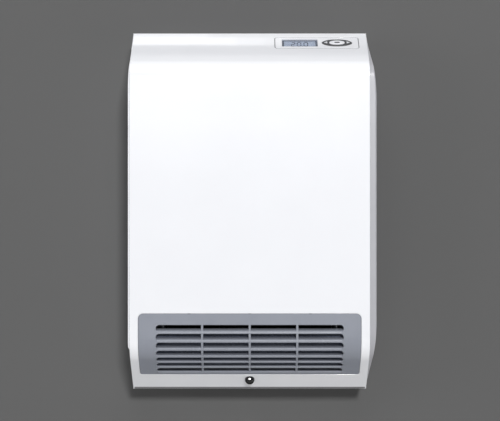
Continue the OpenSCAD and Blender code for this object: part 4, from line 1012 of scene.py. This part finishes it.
def display():
    """Clear window over a light display with a dark border and plain figures."""
    window = sheet("lcd_window_clear", on_panel(-GLASS_SINK, LCD_X),
                   rounded_loop(0, 0, LCD_W - 2 * GAP, LCD_L - 2 * GAP, GLASS_CORNER, 5),
                   thick=GLASS_T, fillet=0.00025)
    dress(window, "lcd_glass", nodes=["lcd_window"])
    body_w, body_l = LCD_W - 2 * MODULE_MARGIN, LCD_L + 2 * MODULE_MARGIN
    body = sheet("lcd_body", on_panel(-LIP_BACK - GAP, LCD_X),
                 rounded_loop(0, 0, body_w, body_l, LCD_CORNER, 5), thick=MODULE_T, fillet=0.0004)
    screen_w, screen_l = LCD_W - 2 * SCREEN_MARGIN, LCD_L - 2 * SCREEN_MARGIN
    glass = sheet("lcd_glass", on_panel(SCREEN_TOP - SCREEN_SINK, LCD_X),
                  rounded_loop(0, 0, screen_w, screen_l, SCREEN_CORNER, 5),
                  thick=LIP_BACK + SCREEN_ROOT + SCREEN_TOP, fillet=0.0002)
    dress(join("lcd_screen", body, glass), "lcd_grey", nodes=["lcd_panel"])
    border_w, border_l = LCD_W - 2 * BORDER_MARGIN, LCD_L - 2 * BORDER_MARGIN
    border = sheet("lcd_border", on_panel(SCREEN_TOP + BORDER_RISE, LCD_X),
                   rounded_loop(0, 0, border_w, border_l, BORDER_CORNER, 5),
                   [rounded_loop(0, 0, BORDER_HOLE_W, BORDER_HOLE_L, SCREEN_CORNER, 5)],
                   thick=BORDER_T, fillet=CRISP_HAIR, rings=1)
    detail(border, "border_dark")
    shapes = [loop for digit, x in DIGITS for loop in segment_loops(digit, x)]
    shapes.append(oval_loop(POINT_X, -DIGIT_H / 2, POINT_D, POINT_D, 12))
    figures = [sheet(f"figure_{i}", on_panel(SCREEN_TOP - FIGURE_SINK, LCD_X), loop, thick=FIGURE_T,
                     fillet=CRISP_HAIR, rings=1) for i, loop in enumerate(shapes)]
    detail(join("lcd_figures", *figures), "segment_dark")


# ---- the lock screw

DOME_RIM, DOME_ROUND = 0.001, 0.0004
SHANK_L = 0.012


def turned(name, profile, place, n=64):
    """Surface of revolution: profile is (radius, height) from the bottom axis point to the top one."""
    verts, faces, before = [], [], 0
    for r, h in profile:
        count = n if r else 1
        start = len(verts)
        for i in range(count):
            a = 2 * math.pi * i / n
            verts.append(place(r * math.cos(a), r * math.sin(a), -h)[0])
        if start:
            for i in range(n):
                j = (i + 1) % n
                if before == 1:
                    faces.append((start - 1, start + j, start + i))
                elif count == 1:
                    faces.append((start - n + i, start - n + j, start))
                else:
                    faces.append((start - n + i, start - n + j, start + j, start + i))
        before = count
    obj = make_object(name, verts, faces)
    obj.data.set_sharp_from_angle(angle=math.radians(50))
    return obj


def lock_screw():
    """Glossy dome on a thin rounded rim, on a plain shank."""
    p, _, eu, ev = on_face(0, LOCK_V, 0)
    flat_r, top = LOCK_R - DOME_ROUND, GAP + DOME_RIM
    profile = [(0, -SHANK_L), (SHANK_R, -SHANK_L), (SHANK_R, GAP), (flat_r, GAP)]
    profile += [(flat_r + DOME_ROUND * math.sin(a), GAP + DOME_ROUND - DOME_ROUND * math.cos(a))
                for a in steps(0.2, math.pi / 2, 4)]
    profile += [(LOCK_R * math.cos(a), top + LOCK_R * math.sin(a)) for a in steps(0, math.pi / 2, 22)]
    profile[-1] = (0, top + LOCK_R)
    dress(turned("dome", profile, plane(p, eu, -ev)), "dome_black", "lock", ["lock_screw"])


# ---- carried-over CAD nodes

# Width of the bevel on the edges of these nodes
BEVELS = {"rear_housing": 0.0008, "wall_bracket": 0.0003}


def dress_nodes():
    """Every CAD node takes the procedural material of its slot, and two of them a small bevel."""
    for part in frame["record"]["subparts"]:
        obj = frame["nodes"][part["node"]]
        mat = MATERIALS[part["material_slot"]]
        if not obj.data.materials:
            obj.data.materials.append(mat)
        for slot in obj.material_slots:
            slot.material = mat
    for name, width in BEVELS.items():
        bevel = frame["nodes"][name].modifiers.new("edges", "BEVEL")
        bevel.width = width
        bevel.segments = 3
        bevel.limit_method = "ANGLE"
        bevel.angle_limit = math.radians(60)
        bevel.harden_normals = True


# ---- floor, backdrop, lights, camera

WALL_GREY = linear(98, 98, 98)
WALL_CENTRE, WALL_SIZE = (0, 0.001, 0.4), 5.0
FLOOR_PALE = linear(214, 213, 210)
FLOOR_CENTRE, FLOOR_SIZE = (0, -0.5, -1.3), 7.0
AIM = (0, -0.08, 0)

# Strips that the top slant mirrors, at this height: x from, x to, y from, y to, brightness
STRIP_Z = 0.40
STRIPS = [
    (-0.60, -0.06, -0.0110, -0.0060, 1.8), (-0.06, 0.20, -0.0110, -0.0060, 1.0),
    (-0.60, -0.06, -0.0225, -0.0110, 3.0), (-0.06, -0.02, -0.0235, -0.0110, 2.5),
    (-0.02, 0.02, -0.0235, -0.0110, 2.0), (0.02, 0.06, -0.0235, -0.0110, 1.6),
    (0.06, 0.11, -0.0235, -0.0110, 1.0), (0.11, 0.20, -0.0235, -0.0110, 0.6),
    (-0.60, 0.60, -0.0390, -0.0350, 0.2), (-0.60, 0.60, -0.0600, -0.0390, 1.0),
    (-0.60, 0.60, -0.1600, -0.0600, 1.5), (-0.60, 0.60, -0.3200, -0.1600, 1.8),
]

# Panels that the upper front mirrors, at this y: x from, x to, z from, z to, brightness
GLOW_Y = -6.0
GLOWS = [
    (-1.60, -0.15, 0.25, 0.45, 0.35), (-0.15, 0.60, 0.25, 0.45, 0.20),
    (-1.60, -0.15, 0.45, 0.65, 0.70), (-0.15, 0.60, 0.45, 0.65, 0.40),
    (-1.60, -0.15, 0.65, 1.30, 1.05), (-0.15, 0.60, 0.65, 1.30, 0.60),
]

# The small lamp that the dome mirrors: its place from the dome's foot, its size and its power
CATCH_LIGHT = Vector((0, -0.0330, 0.0125))
CATCH_W, CATCH_H, CATCH_POWER = 0.026, 0.018, 0.090

WORLD_LIGHT, WORLD_STRENGTH = (0.9, 0.93, 1.0, 1.0), 0.12
CAMERA_PLACE, CAMERA_LENS, SENSOR_W = (0.0004, -1.847, 0.0007), 97.56, 36.0
CLIP_START = 0.01


def flat_square(name, centre, u, v, size, mat):
    """Square of the stage, spread along u and v about its centre."""
    centre, u, v = Vector(centre), Vector(u) * size / 2, Vector(v) * size / 2
    corners = [centre - u - v, centre + u - v, centre + u + v, centre - u + v]
    obj = make_object(name, corners, [(0, 1, 2, 3)])
    obj.data.materials.append(mat)
    return obj


def stage():
    """Grey wall that shows from its front only, and a pale floor below the view."""
    wall, nodes, links, shader, place = new_material("wall_grey")
    ramp(nodes, links, noise(nodes, links, place, 2.0),
         [(NOISE_LOW, scaled(WALL_GREY, 0.99)), (NOISE_HIGH, WALL_GREY)], shader.inputs["Base Color"])
    put(shader, {"Roughness": 0.9, "Specular IOR Level": 0.1})
    clear = nodes.new("ShaderNodeBsdfTransparent")
    mix = nodes.new("ShaderNodeMixShader")
    side = nodes.new("ShaderNodeNewGeometry")
    links.new(side.outputs["Backfacing"], mix.inputs["Fac"])
    links.new(shader.outputs["BSDF"], mix.inputs[1])
    links.new(clear.outputs["BSDF"], mix.inputs[2])
    links.new(mix.outputs["Shader"], nodes["Material Output"].inputs["Surface"])
    backdrop = flat_square("backdrop", WALL_CENTRE, (1, 0, 0), (0, 0, 1), WALL_SIZE, wall)
    backdrop.visible_shadow = False  # so that the lamp behind lights the heater's back
    floor = plastic("floor_pale", FLOOR_PALE, 0.8, grain=60.0, depth=0.0002, specular=0.2)
    flat_square("floor", FLOOR_CENTRE, (1, 0, 0), (0, 1, 0), FLOOR_SIZE, floor)


def lamp(name, place, aim, size, power, size_y=None, gloss_only=False):
    """Area lamp that the camera doesn't see. A gloss_only one just shows as a reflection."""
    data = bpy.data.lights.new(name, "AREA")
    data.shape = "RECTANGLE"
    data.size = size
    data.size_y = size_y or size
    data.energy = power
    obj = bpy.data.objects.new(name, data)
    obj.location = place
    obj.rotation_euler = (Vector(aim) - Vector(place)).to_track_quat("-Z", "Y").to_euler()
    obj.visible_camera = False
    obj.visible_diffuse = not gloss_only
    bpy.context.scene.collection.objects.link(obj)
    return obj


def mirrored(name, place, aim, width, depth, brightness):
    """Lamp of an even brightness that only shows as a reflection."""
    lamp(name, place, aim, width, brightness * math.pi * width * depth, size_y=depth, gloss_only=True)


def lights():
    """Soft studio lamps round the object, and the ones that its glossy faces mirror.

    The two side lamps light the cheeks without an image of them in the gloss.
    """
    lamp("key", (0.80, -6.2, 1.85), AIM, 0.75, 268)
    lamp("overhead", (-0.1, -1.7, 1.5), AIM, 1.0, 9, size_y=1.4)
    lamp("fill_left", (-2.8, -2.2, 0.4), AIM, 1.4, 12)
    lamp("side_left", (-3.2, -0.3, 0.2), AIM, 1.2, 20).visible_glossy = False
    lamp("side_right", (3.2, -0.3, -0.5), AIM, 1.2, 22).visible_glossy = False
    lamp("behind", (0.0, 2.4, 0.9), (0, 0, 0), 1.2, 26)
    lamp("fill_right", (2.0, -1.0, -1.6), AIM, 1.2, 17)
    for i, (x0, x1, y0, y1, brightness) in enumerate(STRIPS):
        x, y = (x0 + x1) / 2, (y0 + y1) / 2
        mirrored(f"strip_{i}", (x, y, STRIP_Z), (x, y, 0), x1 - x0, y1 - y0, brightness)
    spot = on_face(0, LOCK_V, 0)[0]
    catch = lamp("dome_spot", spot + CATCH_LIGHT, spot, CATCH_W, CATCH_POWER, CATCH_H, gloss_only=True)
    lit_by_it = bpy.data.collections.new("dome_only")
    lit_by_it.objects.link(bpy.data.objects["dome"])
    catch.light_linking.receiver_collection = lit_by_it
    for i, (x0, x1, z0, z1, brightness) in enumerate(GLOWS):
        x, z = (x0 + x1) / 2, (z0 + z1) / 2
        mirrored(f"glow_{i}", (x, GLOW_Y, z), (x, 0, z), x1 - x0, z1 - z0, brightness)
    sky()


def sky():
    """Faint even light from all round, and the plain view transform."""
    world = bpy.data.worlds.new("studio")
    world.use_nodes = True
    put(world.node_tree.nodes["Background"], {"Color": WORLD_LIGHT, "Strength": WORLD_STRENGTH})
    bpy.context.scene.world = world
    bpy.context.scene.view_settings.view_transform = "Standard"


def camera():
    """Level camera straight in front of the heater."""
    data = bpy.data.cameras.new("camera")
    data.lens = CAMERA_LENS
    data.sensor_width = SENSOR_W
    data.clip_start = CLIP_START
    obj = bpy.data.objects.new("camera", data)
    obj.location = CAMERA_PLACE
    obj.rotation_euler = (math.pi / 2, 0, 0)
    bpy.context.scene.collection.objects.link(obj)
    bpy.context.scene.camera = obj


camera()
dress_nodes()
front_cover()
side_cheeks()
filter_cassette()
outlet_grille()
panel_insert()
rocker_ring()
confirm_button()
display()
lock_screw()
stage()
lights()
